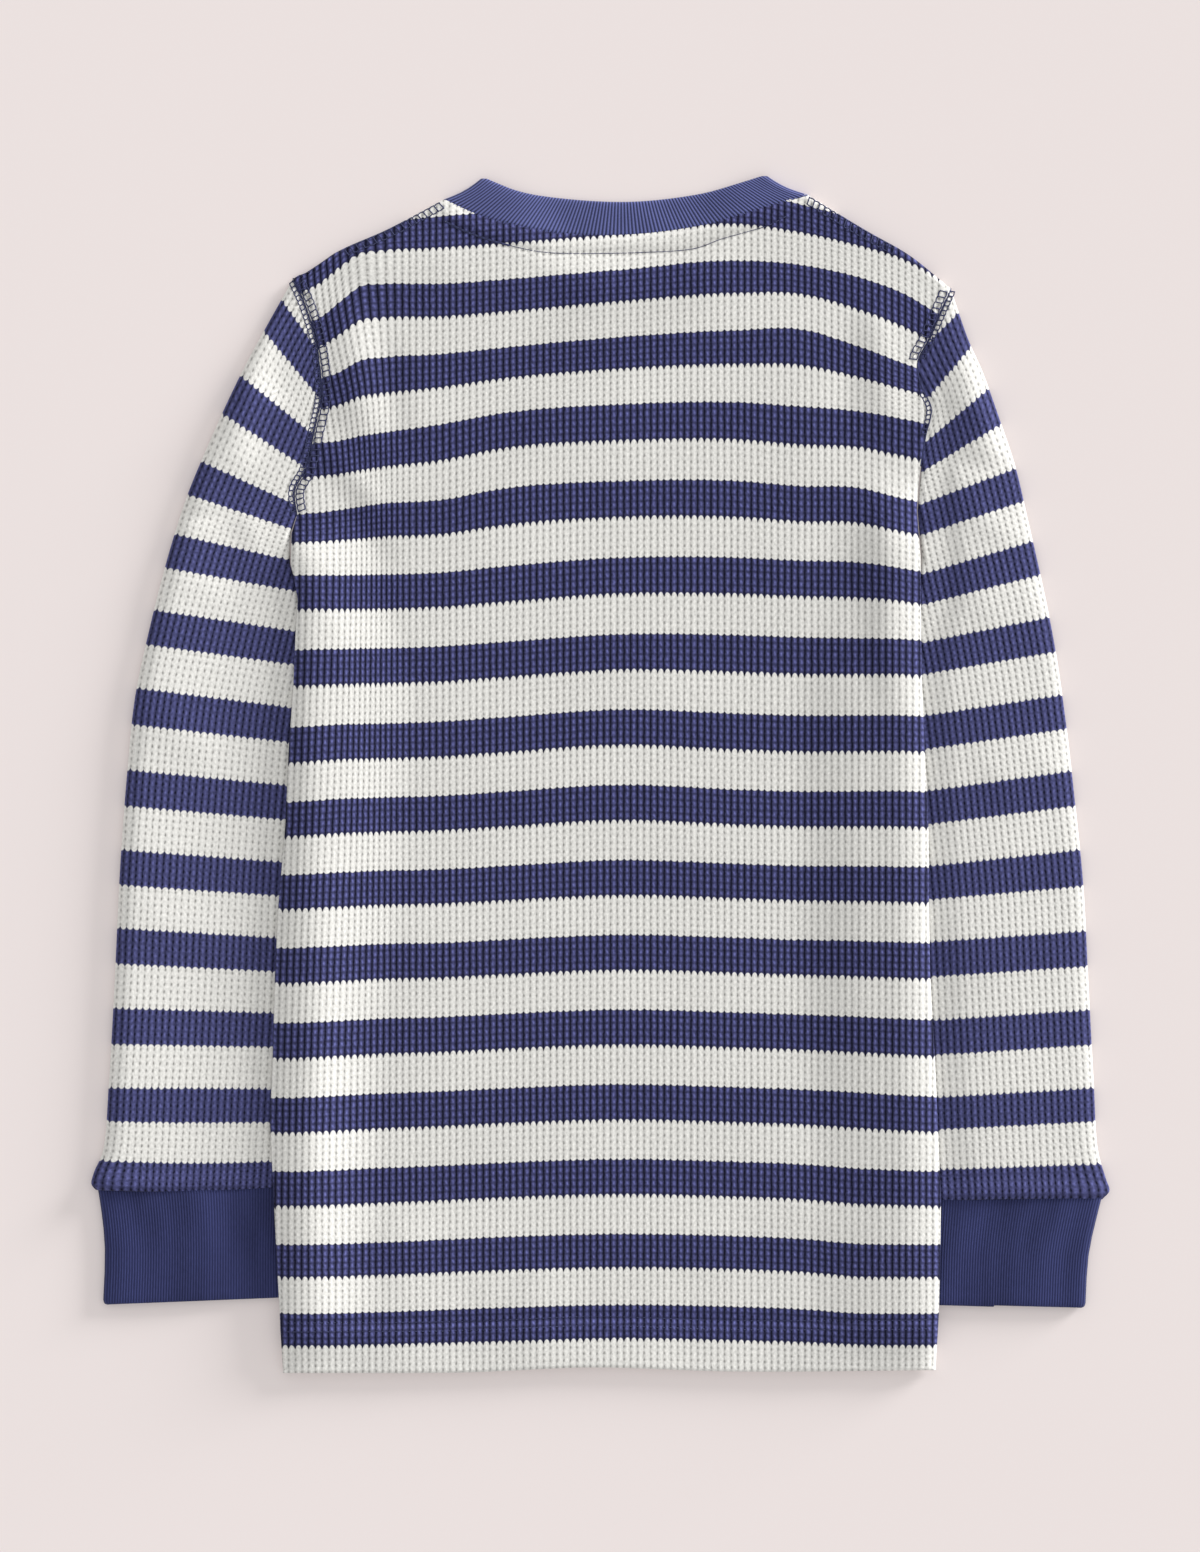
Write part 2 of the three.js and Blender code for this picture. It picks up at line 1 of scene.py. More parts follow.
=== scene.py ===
# %% [markdown]
# # A laid-out thermal top
# This lesson dresses a child's long-sleeved thermal top in striped waffle knit. The top lies
# flat with its front down, and is seen from straight above. The frame holds the plain solids
# of its seven sewn pieces. Each one is replaced here by a finer shell of the same form.

# %% Load the frame
import math

import bmesh
import bpy
import numpy as np
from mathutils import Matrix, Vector


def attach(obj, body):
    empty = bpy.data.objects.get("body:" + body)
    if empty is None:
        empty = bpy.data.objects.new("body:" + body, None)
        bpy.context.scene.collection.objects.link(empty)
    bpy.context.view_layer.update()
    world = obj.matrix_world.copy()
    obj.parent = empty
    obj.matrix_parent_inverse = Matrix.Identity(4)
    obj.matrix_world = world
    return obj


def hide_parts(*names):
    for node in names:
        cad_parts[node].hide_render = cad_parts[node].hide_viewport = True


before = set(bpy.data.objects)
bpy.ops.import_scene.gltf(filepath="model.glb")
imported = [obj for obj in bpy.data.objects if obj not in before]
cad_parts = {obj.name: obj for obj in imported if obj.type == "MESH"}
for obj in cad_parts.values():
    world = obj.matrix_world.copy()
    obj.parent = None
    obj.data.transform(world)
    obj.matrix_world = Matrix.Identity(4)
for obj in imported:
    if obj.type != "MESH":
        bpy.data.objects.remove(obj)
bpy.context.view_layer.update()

# %% [markdown]
# ## Sizes of the garment
# The outline and the heights are those of the solids. They could be read back from the
# solids' points, but a short table of sizes says more about the garment, so the same tables
# stand here in millimetres. "Left" and "right" are those of someone who looks down on it.

# %% The cloth and its edges
WALL = 1.8  # one layer of waffle knit or rib
LAYER_GAP = 0.7  # air between two layers
SEAM_GAP = 0.3  # between pieces that are sewn together
HEM_EXTRA = 0.7  # what the turned-up hem adds to the wall
HEM_DEPTH = 19.5  # how far the hem is turned up
OUTER_RADIUS = WALL + LAYER_GAP / 2
INNER_RADIUS = LAYER_GAP / 2
TUCK_LIFT = 2 * OUTER_RADIUS + SEAM_GAP
TUCK_SHELF = 6
TUCK_RUN = 34
CUFF_END_Y = -236

LEFT_SIDE = [
    (-139.8, -262.6), (-140.8, -244.1), (-141.1, -236), (-142.6, -210), (-143.7, -187),
    (-145.4, -151), (-144.1, -121), (-143.2, -87), (-141.7, -57), (-138.6, -21),
    (-137.1, 13), (-135.1, 40), (-134.2, 62), (-133.1, 78), (-136.2, 93.5), (-136, 107),
    (-133.6, 114.6),
]
RIGHT_SIDE = [
    (147.6, -261.3), (148.5, -242.8), (148.9, -236), (149.5, -210), (149.8, -187),
    (148.4, -151), (147, -121), (145.1, -87), (144.5, -57), (144.3, -21),
    (142.7, 13), (141.5, 40), (141.1, 62), (141, 78), (140.8, 97), (139.2, 117),
    (140.9, 136.6),
]
LEFT_ARMHOLE = [
    (-133.6, 114.6), (-134.6, 126), (-130, 135), (-126, 152), (-123, 168),
    (-124.7, 189), (-129.8, 207), (-135.3, 219.3),
]
RIGHT_ARMHOLE = [
    (140.9, 136.6), (143.2, 150), (145.6, 162), (141.2, 172), (139.6, 182),
    (144.5, 192.5), (148.6, 202), (154.2, 214.9),
]
LEFT_SHOULDER = [(-135.3, 219.3), (-115, 231.6), (-94, 240.9), (-69, 254.2)]
RIGHT_SHOULDER = [(90.7, 256.5), (117, 240.5), (136, 229.6), (154.2, 214.9)]
BACK_NECK = [
    (-69, 254.2), (-52, 246.8), (-18, 239.6), (11, 238.7), (44, 242.7), (66, 249.1),
    (90.7, 256.5),
]
FRONT_NECK = [
    (-69, 254.2), (-66, 238), (-55, 213), (-30, 193), (11, 184.5), (52, 194),
    (77, 214), (88, 239), (90.7, 256.5),
]
BACK_NECK_EDGE = [
    (-51.9, 264), (-36, 257.8), (-18, 254.8), (13, 253.2), (44, 256.7), (60, 261),
    (72.8, 265),
]
FRONT_NECK_EDGE = [
    (-51.9, 264), (-50, 246), (-41, 227), (-22, 211), (11, 203.5), (44, 212),
    (63, 228), (71, 247), (72.8, 265),
]
HEM_EDGE = [(-139.8, -262.6), (-60, -262.4), (-5, -260.2), (60, -262), (147.6, -261.3)]
LEFT_OUTER_EDGE = [
    (-135.3, 219.3), (-148, 196.7), (-156, 182), (-165, 163.5), (-173.7, 144),
    (-182.5, 122.5), (-191.2, 94.5), (-198.2, 67), (-205, 35), (-208.8, -2),
    (-211.7, -42), (-213.9, -88), (-216.5, -134), (-219.2, -165), (-223.2, -174.6),
    (-224.2, -179.6), (-221.6, -183), (-220.6, -186),
]
RIGHT_OUTER_EDGE = [
    (154.2, 214.9), (162.2, 192), (168.4, 178), (176.3, 156), (182.9, 136),
    (188.3, 113), (194, 88), (200.2, 57), (205, 24), (209, -11), (212.7, -48),
    (214.9, -90), (217.3, -135), (219.2, -165), (222.6, -177), (224.2, -182.6),
    (221, -186.4), (219.8, -189),
]
# How far a sleeve's fold lies under the body at a height y
LEFT_TUCK = [
    (-184.6, 7.5), (-165, 9), (-118, 12), (-54, 16), (13, 17), (40, 15), (62, 9), (78, 1),
    (93.5, -0.5), (114, -0.5),
]
RIGHT_TUCK = [
    (-185.6, 18), (-118, 19), (-21, 20), (40, 17), (62, 10), (78, 2), (97, -0.5),
    (136, -0.5),
]
print("tables of the outline are in millimetres")

# %% [markdown]
# ## Smooth outlines
# A maker's pattern has smooth curves through a few marked points. Bezier curves would need
# handles, so each outline is a Catmull-Rom curve, which passes through its points, and is
# then looked up by height or by width.

# %% Curves through a few points
CURVE_STEPS = 24  # points on each span of a curve


def smooth_curve(rows):
    """A centripetal Catmull-Rom curve through rows of (x, y)"""
    marks = np.array(rows, float)
    marks = np.vstack([2 * marks[0] - marks[1], marks, 2 * marks[-1] - marks[-2]])
    line = [marks[1]]
    for before, start, end, after in zip(marks, marks[1:], marks[2:], marks[3:]):
        gaps = [np.linalg.norm(b - a) ** 0.5 for a, b in ((before, start), (start, end), (end, after))]
        slope_in = (start - before) / gaps[0] - (end - before) / (gaps[0] + gaps[1])
        slope_out = (after - end) / gaps[2] - (after - start) / (gaps[1] + gaps[2])
        slope_in = slope_in * gaps[1] + (end - start)
        slope_out = slope_out * gaps[1] + (end - start)
        for step in range(1, CURVE_STEPS + 1):
            t = step / CURVE_STEPS
            line.append(
                (2 * t**3 - 3 * t**2 + 1) * start
                + (t**3 - 2 * t**2 + t) * slope_in
                + (3 * t**2 - 2 * t**3) * end
                + (t**3 - t**2) * slope_out
            )
    return np.array(line)


def along(line, share):
    """Points on a curve at shares of its length"""
    steps = np.linalg.norm(np.diff(line, axis=0), axis=1)
    length = np.concatenate([[0], np.cumsum(steps)])
    at = np.clip(share, 0, 1) * length[-1]
    return np.interp(at, length, line[:, 0]), np.interp(at, length, line[:, 1])


def lookup(line, value, by):
    """The other coordinate of a curve where its coordinate number by has a value"""
    order = np.argsort(line[:, by], kind="stable")
    return np.interp(value, line[order, by], line[order, 1 - by])


left_armhole, right_armhole = smooth_curve(LEFT_ARMHOLE), smooth_curve(RIGHT_ARMHOLE)
left_line = np.vstack([LEFT_SIDE, left_armhole])
right_line = np.vstack([RIGHT_SIDE, right_armhole])
left_shoulder, right_shoulder = smooth_curve(LEFT_SHOULDER), smooth_curve(RIGHT_SHOULDER)
back_top = np.vstack([left_shoulder, smooth_curve(BACK_NECK), right_shoulder])
front_top = np.vstack([left_shoulder, smooth_curve(FRONT_NECK), right_shoulder])
hem_line = smooth_curve(HEM_EDGE)
left_outer, right_outer = smooth_curve(LEFT_OUTER_EDGE), smooth_curve(RIGHT_OUTER_EDGE)
print("outline curves have", len(back_top), "points along the back's top")

# %% [markdown]
# ## How high the cloth lies
# The front lies on the floor and the back lies on it. Along the sides both are raised by the
# sleeves tucked under them. A cloth simulation would blur the flat lay that hands made, so
# the heights are plain functions of the place.

# %% Heights of the body
BACK_FOLDS = [  # x1, y1, x2, y2, half width and height of each soft ridge
    (-112, 212, -104, 148, 10, 1.7),  # left armhole pucker
    (-60, 236, -112, 222, 12, 0.9),  # left shoulder
    (120, 210, 128, 150, 9, 1.4),  # right armhole
    (124, 128, 128, 30, 8, 1.3),  # right side
    (-18, 215, 60, 222, 14, 1.0),  # under the neck
    (-96, -262, -84, -190, 16, 1.1),  # left hem
    (92, -262, 100, -176, 18, 1.2),  # right hem
]
SMALL_CREASES = [  # soft troughs and low ridges that the solids leave out
    (-96, 196, -88, 140, 7, -0.7),
    (-124, 150, -96, 118, 6, 0.8),
    (-118, 128, -90, 88, 7, -0.6),
    (-116, 60, -110, -30, 9, 0.5),
    (112, 200, 104, 140, 8, -0.6),
    (137, 120, 116, 92, 6, 0.7),
    (113, 110, 117, 40, 6, -0.6),
    (118, -20, 112, -120, 12, 0.5),
    (-40, 150, 30, 158, 16, 0.35),
    (20, -20, 96, -34, 20, 0.35),
    (-90, -80, -20, -68, 22, 0.35),
    (-30, -262, -24, -206, 12, 0.6),
    (34, -262, 40, -214, 12, -0.4),
    (-62, -262, -58, -222, 9, -0.4),
    (-126, 80, -129, -262, 13, 3.4),  # the left side bulges over the sleeve
    (131, 96, 136, -262, 11, 1.9),  # and so does the right side
]
LEFT_SLEEVE_FOLDS = [
    (-150, 176, -162, 132, 9, 1.5),
    (-198, 30, -168, 8, 12, 1.0),
    (-140, 166, -168, 150, 6, 0.8),
    (-160, 118, -140, 96, 7, 0.7),
    (-196, 96, -160, 76, 9, 0.5),
    (-205, -60, -160, -74, 12, 0.4),
]
RIGHT_SLEEVE_FOLDS = [
    (160, 184, 172, 138, 9, 1.5),
    (200, 12, 170, -6, 12, 1.0),
    (152, 166, 178, 156, 6, 0.8),
    (160, 120, 182, 104, 7, 0.7),
    (196, 84, 164, 70, 9, 0.5),
    (206, -70, 160, -84, 12, 0.4),
]
FOLD_FADE = 2.2
NECK_SAG = {"x": 11, "y": 262, "half_width": 56, "depth": 52, "drop": 2, "level": 0.55}


def smoothstep(value, low, high):
    share = np.clip((value - low) / (high - low), 0, 1)
    return share * share * (3 - 2 * share)


def fold_height(folds, x, y):
    height = np.zeros_like(x)
    for x1, y1, x2, y2, half, high in folds:
        dx, dy = x2 - x1, y2 - y1
        length = math.hypot(dx, dy)
        share = ((x - x1) * dx + (y - y1) * dy) / length**2
        away = ((x - x1) * dy - (y - y1) * dx) / length
        beyond = np.maximum(np.abs(share - 0.5) - 0.25, 0) * 2
        height += high * np.exp(-((away / half) ** 2) - (beyond * FOLD_FADE) ** 2)
    return height


def neck_sag(x, y):
    across = (x - NECK_SAG["x"]) / NECK_SAG["half_width"]
    down = (y - NECK_SAG["y"]) / NECK_SAG["depth"]
    return NECK_SAG["drop"] * (1 - smoothstep(np.hypot(across, down), NECK_SAG["level"], 1))


def side_lift(x, y):
    """The lift of the body over the tucked sleeves"""
    lift = np.zeros_like(x)
    sides = ((-1, LEFT_SIDE, LEFT_TUCK, 93.5), (1, RIGHT_SIDE, RIGHT_TUCK, 97))
    for side, rows, tuck_rows, full_y in sides:
        rows, tucks = np.array(rows), np.array(tuck_rows)
        inward = side * (np.interp(y, rows[:, 1], rows[:, 0]) - x)
        shelf = np.maximum(np.interp(y, tucks[:, 0], tucks[:, 1]), 0) + TUCK_SHELF
        across = 1 - smoothstep((inward - shelf) / TUCK_RUN, 0, 1)
        near_arm = 1 - smoothstep(y, full_y, rows[-1, 1])
        near_hem = smoothstep(y, LEFT_SIDE[0][1], CUFF_END_Y)
        lift += TUCK_LIFT * across * near_arm * near_hem
    return lift


print("lift at the left side", side_lift(np.array([-140.0]), np.array([0.0])))

# %% [markdown]
# ## The stripes follow the cloth
# The knit has straight stripes, eleven rows of waffles each, five of them navy. Laid out, the
# cloth droops towards the sides and puckers at the armholes, and the stripes show it. A plain
# pattern across the object would miss that, so every point of the cloth gets a row number and
# a wale number, and a short table says how far a stripe droops at each place.

# %% Rows and wales of the body
WALE = 2.95  # width of one column of waffles
STRIPE_ROWS = 11  # rows from one stripe to the next
BODY_ROWS = np.array([  # row number and its height at the middle of the back
    (-22, -295), (-11, -263.7), (0, -232.5), (11, -201.3), (66, -36.7), (99, 62.7),
    (132, 163.9), (165, 252.8), (187, 312),
])
DROOP_X = np.array([
    -136.6, -122.5, -114.6, -105.8, -97, -70.6, -44.2, 8.6, 61.4, 87.8, 114.2, 131.8, 149.4,
])
STRIPE_DROOP = np.array([  # height at the middle, then how far the stripe lies below it
    (-263, 2.6, 2.6, 2.5, 2.4, 2.2, 1.8, 1.3, 0, 0.9, 1.3, 1.8, 2.2, 2.2),
    (-232.5, 3.5, 3.5, 3.5, 3.3, 3.1, 2.2, 1.3, 0, 0.9, 1.8, 3.5, 3.5, 3.5),
    (-135.3, 5.7, 5.1, 4.8, 4.4, 4.0, 3.1, 1.8, 0, 1.3, 2.2, 3.5, 4.4, 5.3),
    (-70.2, 5.7, 5.1, 4.8, 4.4, 4.0, 3.5, 2.2, 0, 1.3, 2.2, 2.6, 3.1, 3.5),
    (29.7, 7.9, 7.1, 6.6, 6.4, 6.2, 5.3, 3.5, 0, 1.8, 2.6, 2.6, 2.6, 3.5),
    (62.7, 7.0, 6.7, 6.6, 6.4, 6.2, 5.3, 3.5, 0, 0.4, 1.3, 1.8, 2.2, 3.5),
    (97, 7.9, 7.9, 7.9, 7.7, 7.5, 6.6, 4.0, 0, 0, 1.3, 2.2, 4.8, 7.9),
    (130.9, 15, 13.8, 12.8, 11.4, 10.1, 8.4, 3.5, 0, 0, 2.2, 3.1, 7.5, 10.6),
    (163.9, 18, 16.8, 16, 13.9, 12.6, 8.8, 4.0, 0, -0.9, 0.9, 3.1, 6.2, 9.7),
    (193.8, 20, 18, 15.3, 10.4, 9.0, 7.5, 4.8, 0, -3.1, -3.5, 4.4, 11, 16.7),
    (223.3, 25, 20.5, 14, 7.4, 6.4, 6.2, 4.4, 0, -4, -2.2, 3.5, 9.7, 19.8),
    (253.7, 31, 21, 15, 10.5, 9.0, 6.2, 4, 0, -4.6, 0.8, 7.6, 11.5, 18.5),
])
# Near the left armhole the cloth is turned a little, so its wales lean
LEAN = {"slope": 0.22, "y": 180, "half_height": 38, "full_x": -118, "none_x": -84}
LEAN_FADE = (-200, 130)  # heights between which the lean grows from nothing
GRID_STEP = 1.0  # the droop is looked up on a fine grid


def hermite(value, marks, rows):
    """Smooth values between marks, by cubic spans; rows may have several columns"""
    rows = rows.reshape(len(marks), -1)
    slopes = np.gradient(rows, marks, axis=0)
    span = np.clip(np.searchsorted(marks, value) - 1, 0, len(marks) - 2)
    width = (marks[span + 1] - marks[span])[:, None]
    t = np.clip((value - marks[span])[:, None] / width, 0, 1)
    return (
        (2 * t**3 - 3 * t**2 + 1) * rows[span]
        + (t**3 - 2 * t**2 + t) * slopes[span] * width
        + (3 * t**2 - 2 * t**3) * rows[span + 1]
        + (t**3 - t**2) * slopes[span + 1] * width
    )


grid_x = np.arange(-150, 165, GRID_STEP)
grid_y = np.arange(-270, 280, GRID_STEP)
droop_by_x = hermite(grid_x, DROOP_X, STRIPE_DROOP[:, 1:].T)
droop_grid = hermite(grid_y, STRIPE_DROOP[:, 0], droop_by_x.T)


def droop(x, middle_y):
    column = np.clip((x - grid_x[0]) / GRID_STEP, 0, len(grid_x) - 1.001)
    row = np.clip((middle_y - grid_y[0]) / GRID_STEP, 0, len(grid_y) - 1.001)
    i, j = row.astype(int), column.astype(int)
    s, t = row - i, column - j
    low = droop_grid[i, j] * (1 - t) + droop_grid[i, j + 1] * t
    high = droop_grid[i + 1, j] * (1 - t) + droop_grid[i + 1, j + 1] * t
    return low * (1 - s) + high * s


def body_y(x, row):
    middle = np.interp(row, BODY_ROWS[:, 0], BODY_ROWS[:, 1])
    return middle - droop(x, middle)


def lean(x, y):
    """How far a wale lies from the place that it has where the cloth isn't turned"""
    across = 1 - smoothstep(x, LEAN["full_x"], LEAN["none_x"])
    reach = LEAN["half_height"]
    turned = np.tanh((y - LEAN["y"]) / reach) * smoothstep(y, *LEAN_FADE)
    return LEAN["slope"] * reach * across * turned


def body_row(x, y):
    middle = y.copy()
    for _ in range(6):
        middle = y + droop(x, middle)
    return np.interp(middle, BODY_ROWS[:, 1], BODY_ROWS[:, 0])


print("the left side droops by", droop(np.array([-130.0]), np.array([150.0])), "mm at the chest")

# %% [markdown]
# ## The waffles
# Waffle knit has raised columns with a pit between each two of them in every row. A texture
# alone looks flat when the light is low, and one mesh for each waffle would be far too heavy.
# So the cloth's grid has just two points across and two along each waffle, which stand on its
# ridge, its bridge and its pit.

# %% The relief of the knit
RELIEF = 0.5  # millimetres for a part of one
RIDGE, WAIST, BRIDGE, PIT = 0.85, 0.45, -0.2, -1.0
MEAN_PART = (RIDGE + WAIST + BRIDGE + PIT) / 4
WALE_PART = (RIDGE + WAIST - BRIDGE - PIT) / 4
ROW_PART = (RIDGE - WAIST - BRIDGE + PIT) / 4
CROSS_PART = (RIDGE - WAIST + BRIDGE - PIT) / 4


def waffle(wale, row):
    """Height of the knit above its mean surface; wales and rows are counted"""
    across = np.cos(2 * np.pi * wale)
    down = -np.cos(2 * np.pi * row)
    parts = MEAN_PART + WALE_PART * across + ROW_PART * down + CROSS_PART * across * down
    return RELIEF * parts


print("a ridge stands", waffle(0, 0.5), "mm proud and a pit is", waffle(0.5, 0.5), "mm deep")

# %% [markdown]
# ## From grids to meshes
# Each piece is a grid of points. Points that fall outside the outline are moved onto it, and
# points that meet there are welded, so the knit stays straight up to a curved edge. The lining
# side of a panel is a coarser grid, and a zip of triangles joins the two round their rims.

# %% Mesh helpers
WELD = 0.002  # points closer than this are one


def grid_faces(rows, columns, start=0):
    index = np.arange(rows * columns).reshape(rows, columns) + start
    quads = [index[:-1, :-1], index[:-1, 1:], index[1:, 1:], index[1:, :-1]]
    return np.stack([q.ravel() for q in quads], axis=1)


def border(rows, columns, start=0):
    """The rim of a grid as four chains: first row, last column, last row, first column"""
    index = np.arange(rows * columns).reshape(rows, columns) + start
    return [index[0, :], index[:, -1], index[-1, ::-1], index[::-1, 0]]


def zip_chains(points, first, second):
    """Triangles between two chains of points that run side by side"""

    def shares(chain):
        steps = np.linalg.norm(np.diff(points[chain][:, :2], axis=0), axis=1)
        total = np.concatenate([[0], np.cumsum(steps)])
        return total / max(total[-1], WELD)

    a, b = shares(first), shares(second)
    i = j = 0
    faces = []
    while i < len(first) - 1 or j < len(second) - 1:
        if j == len(second) - 1 or (i < len(first) - 1 and a[i + 1] <= b[j + 1]):
            faces.append((first[i], first[i + 1], second[j], second[j]))
            i += 1
        else:
            faces.append((first[i], second[j + 1], second[j], second[j]))
            j += 1
    return np.array(faces)


def make_piece(name, points, faces, cloth):
    """A mesh object from points in millimetres, quads, and each point's wale and row"""
    same_place = np.round(points / WELD).astype(np.int64)
    _, first, back = np.unique(same_place, axis=0, return_index=True, return_inverse=True)
    back = back.ravel()
    polygons, loops = [], []
    for quad in faces:
        corners = []
        for corner in quad:
            if not corners or (back[corner] != back[corners[-1]]):
                corners.append(corner)
        if len(corners) > 1 and back[corners[0]] == back[corners[-1]]:
            corners.pop()
        if len({back[c] for c in corners}) == len(corners) >= 3:
            polygons.append([back[c] for c in corners])
            loops.extend(corners)
    mesh = bpy.data.meshes.new(name)
    mesh.from_pydata((points[first] * 0.001).tolist(), [], polygons)
    layer = mesh.uv_layers.new(name="cloth")
    layer.data.foreach_set("uv", cloth[np.array(loops)].astype(np.float32).ravel())
    mesh.polygons.foreach_set("use_smooth", [True] * len(mesh.polygons))
    mesh.update()
    piece = bpy.data.objects.new(name, mesh)
    bpy.context.scene.collection.objects.link(piece)
    print(name, len(mesh.vertices), "points", len(mesh.polygons), "faces")
    return piece


def face_outwards(piece):
    shell = bmesh.new()
    shell.from_mesh(piece.data)
    bmesh.ops.recalc_face_normals(shell, faces=shell.faces)
    shell.to_mesh(piece.data)
    shell.free()


def thicken(piece, wall):
    """Give a sheet its wall with a Solidify modifier and apply it"""
    modifier = piece.modifiers.new("wall", "SOLIDIFY")
    modifier.thickness = wall * 0.001
    modifier.offset = -1
    modifier.use_rim = True
    apply_modifiers(piece)


def apply_modifiers(piece):
    graph = bpy.context.evaluated_depsgraph_get()
    mesh = bpy.data.meshes.new_from_object(piece.evaluated_get(graph))
    piece.modifiers.clear()
    piece.data = mesh


def area_of(piece):
    return sum(polygon.area for polygon in piece.data.polygons)


# %% [markdown]
# ## The back and front panels
# A panel ends in four kinds of edge. Its sides roll over into the other panel, its shoulders do
# the same, its armholes and neckline dip into a seam, and its hem is a doubled, rounded fold.

# %% Body panels
ARC_ANGLES = np.radians([0, 20, 42, 66])
ARC_INSETS = OUTER_RADIUS * (1 - np.cos(ARC_ANGLES))
EDGE_INSET = OUTER_RADIUS + 0.4
SIDE_REACH = 8  # how far in from a side the cloth is still rounded
SEAM_DIP = {"reach": 3.2, "depth": 0.55}
NECK_FACING = [  # the stitch line of the facing inside the back neck, from left to right
    (-73, 247), (-66, 243.1), (-57.4, 239.2), (-42.5, 234.4), (-25.7, 230.9), (-7.7, 230.3),
    (19.1, 230.8), (41.6, 232.5), (53, 236.5), (64, 239.6), (74.1, 242.7), (86, 249),
]
HEM_NEEDLES = (18.5, 22.4)  # heights of the two needle lines above the hem
HEM_GROOVE = {"deep": 0.35, "half": 0.9}
FACING_REACH = {"high": 1, "rise": (-72, -66), "fall": (82, 88)}  # from left to right
FACING_GROOVE, FACING_STEP, FACING_RUN = 0.4, 0.35, 3
CREASE_REACH = {"high": 1, "rise": (-72, -64), "fall": (-50, -38)}
CREASE_WAVES = [(0.6, 2.8, 2.0), (-0.2, -0.6, 1.2)]  # height, place above the line, half width
KNIT_FADE = (0.3, 2.2)  # distances from an edge between which the relief grows
FAR = 1e3  # a place past every edge, from which a point is moved onto the edge
facing_line = smooth_curve(NECK_FACING)


def wave(value, middle, half):
    return np.exp(-(((value - middle) / half) ** 2))


def hump(value, form):
    """A rise and a fall, each between two values"""
    return form["high"] * smoothstep(value, *form["rise"]) * (1 - smoothstep(value, *form["fall"]))


def arc_rise(distance, radius):
    """How far round a rolled edge the cloth has risen at a distance from the edge"""
    return np.sqrt(1 - (1 - np.clip(distance / radius, 0, 1)) ** 2)


def body_surface(x, y, wale, row, top_line, layer, inside):
    """Height of a panel's outer or inner surface; layer 1 is the back and -1 the front"""
    left, right = lookup(left_line, y, 1), lookup(right_line, y, 1)
    from_side = np.minimum(x - left, right - x)
    top = lookup(top_line, x, 0)
    hem = lookup(hem_line, x, 0)
    below_arm = 1 - smoothstep(y, np.where(x < 0, 104, 124), np.where(x < 0, 116, 138))
    on_shoulder = (x < LEFT_SHOULDER[-1][0] + 0.01) | (x > RIGHT_SHOULDER[0][0] - 0.01)
    in_hem = 1 - smoothstep(y - hem, HEM_DEPTH, HEM_DEPTH + 1.6)
    extra = HEM_EXTRA * in_hem
    radius = INNER_RADIUS if inside else OUTER_RADIUS + extra
    side_rise = arc_rise(from_side + 0.02, SIDE_REACH)
    side_rise = side_rise * below_arm + (1 - below_arm)
    top_rise = np.where(on_shoulder, arc_rise(top - y + 0.02, OUTER_RADIUS), 1)
    stand = np.maximum(radius * side_rise * top_rise, SEAM_GAP / 2)
    seam = (1 - smoothstep(from_side, 0, SEAM_DIP["reach"])) * (1 - below_arm)
    seam += np.where(on_shoulder, 0, 1 - smoothstep(top - y, 0, SEAM_DIP["reach"]))
    middle = OUTER_RADIUS + extra + side_lift(x, y)
    soft = 0
    if layer > 0:
        soft = fold_height(BACK_FOLDS, x, y) + fold_height(SMALL_CREASES, x, y)
        soft = soft * side_rise * top_rise - neck_sag(x, y)
    if not inside:
        stand = stand - SEAM_DIP["depth"] * np.clip(seam, 0, 1)
        knit = waffle(wale, row) - (RELIEF * RIDGE if layer < 0 else 0)
        away = smoothstep(np.minimum(from_side, y - hem), *KNIT_FADE)
        stand = stand + knit * away * smoothstep(top - y, *KNIT_FADE)
        if layer > 0:
            stand = stand + back_details(x, y, hem)
    rim = (WALL + HEM_EXTRA) / 2
    fold = np.maximum(arc_rise(y - hem, rim), 0.12)
    centre = INNER_RADIUS + rim
    stand = np.where(y - hem < rim, centre + (stand - centre) * fold, stand)
    return middle + layer * stand + soft


def back_details(x, y, hem):
    """The hem's two needle lines and the facing's stitch line, pulled into the back"""
    detail = np.zeros_like(x)
    for needle in HEM_NEEDLES:
        detail -= HEM_GROOVE["deep"] * wave(y - hem, needle, HEM_GROOVE["half"])
    line = lookup(facing_line, x, 0)
    inside = hump(x, FACING_REACH)
    detail -= FACING_GROOVE * inside * wave(y - line, 0, 1)
    detail += FACING_STEP * inside * smoothstep(y, line, line + FACING_RUN)
    for high, place, half in CREASE_WAVES:
        detail += high * hump(x, CREASE_REACH) * wave(y - line, place, half)
    return detail


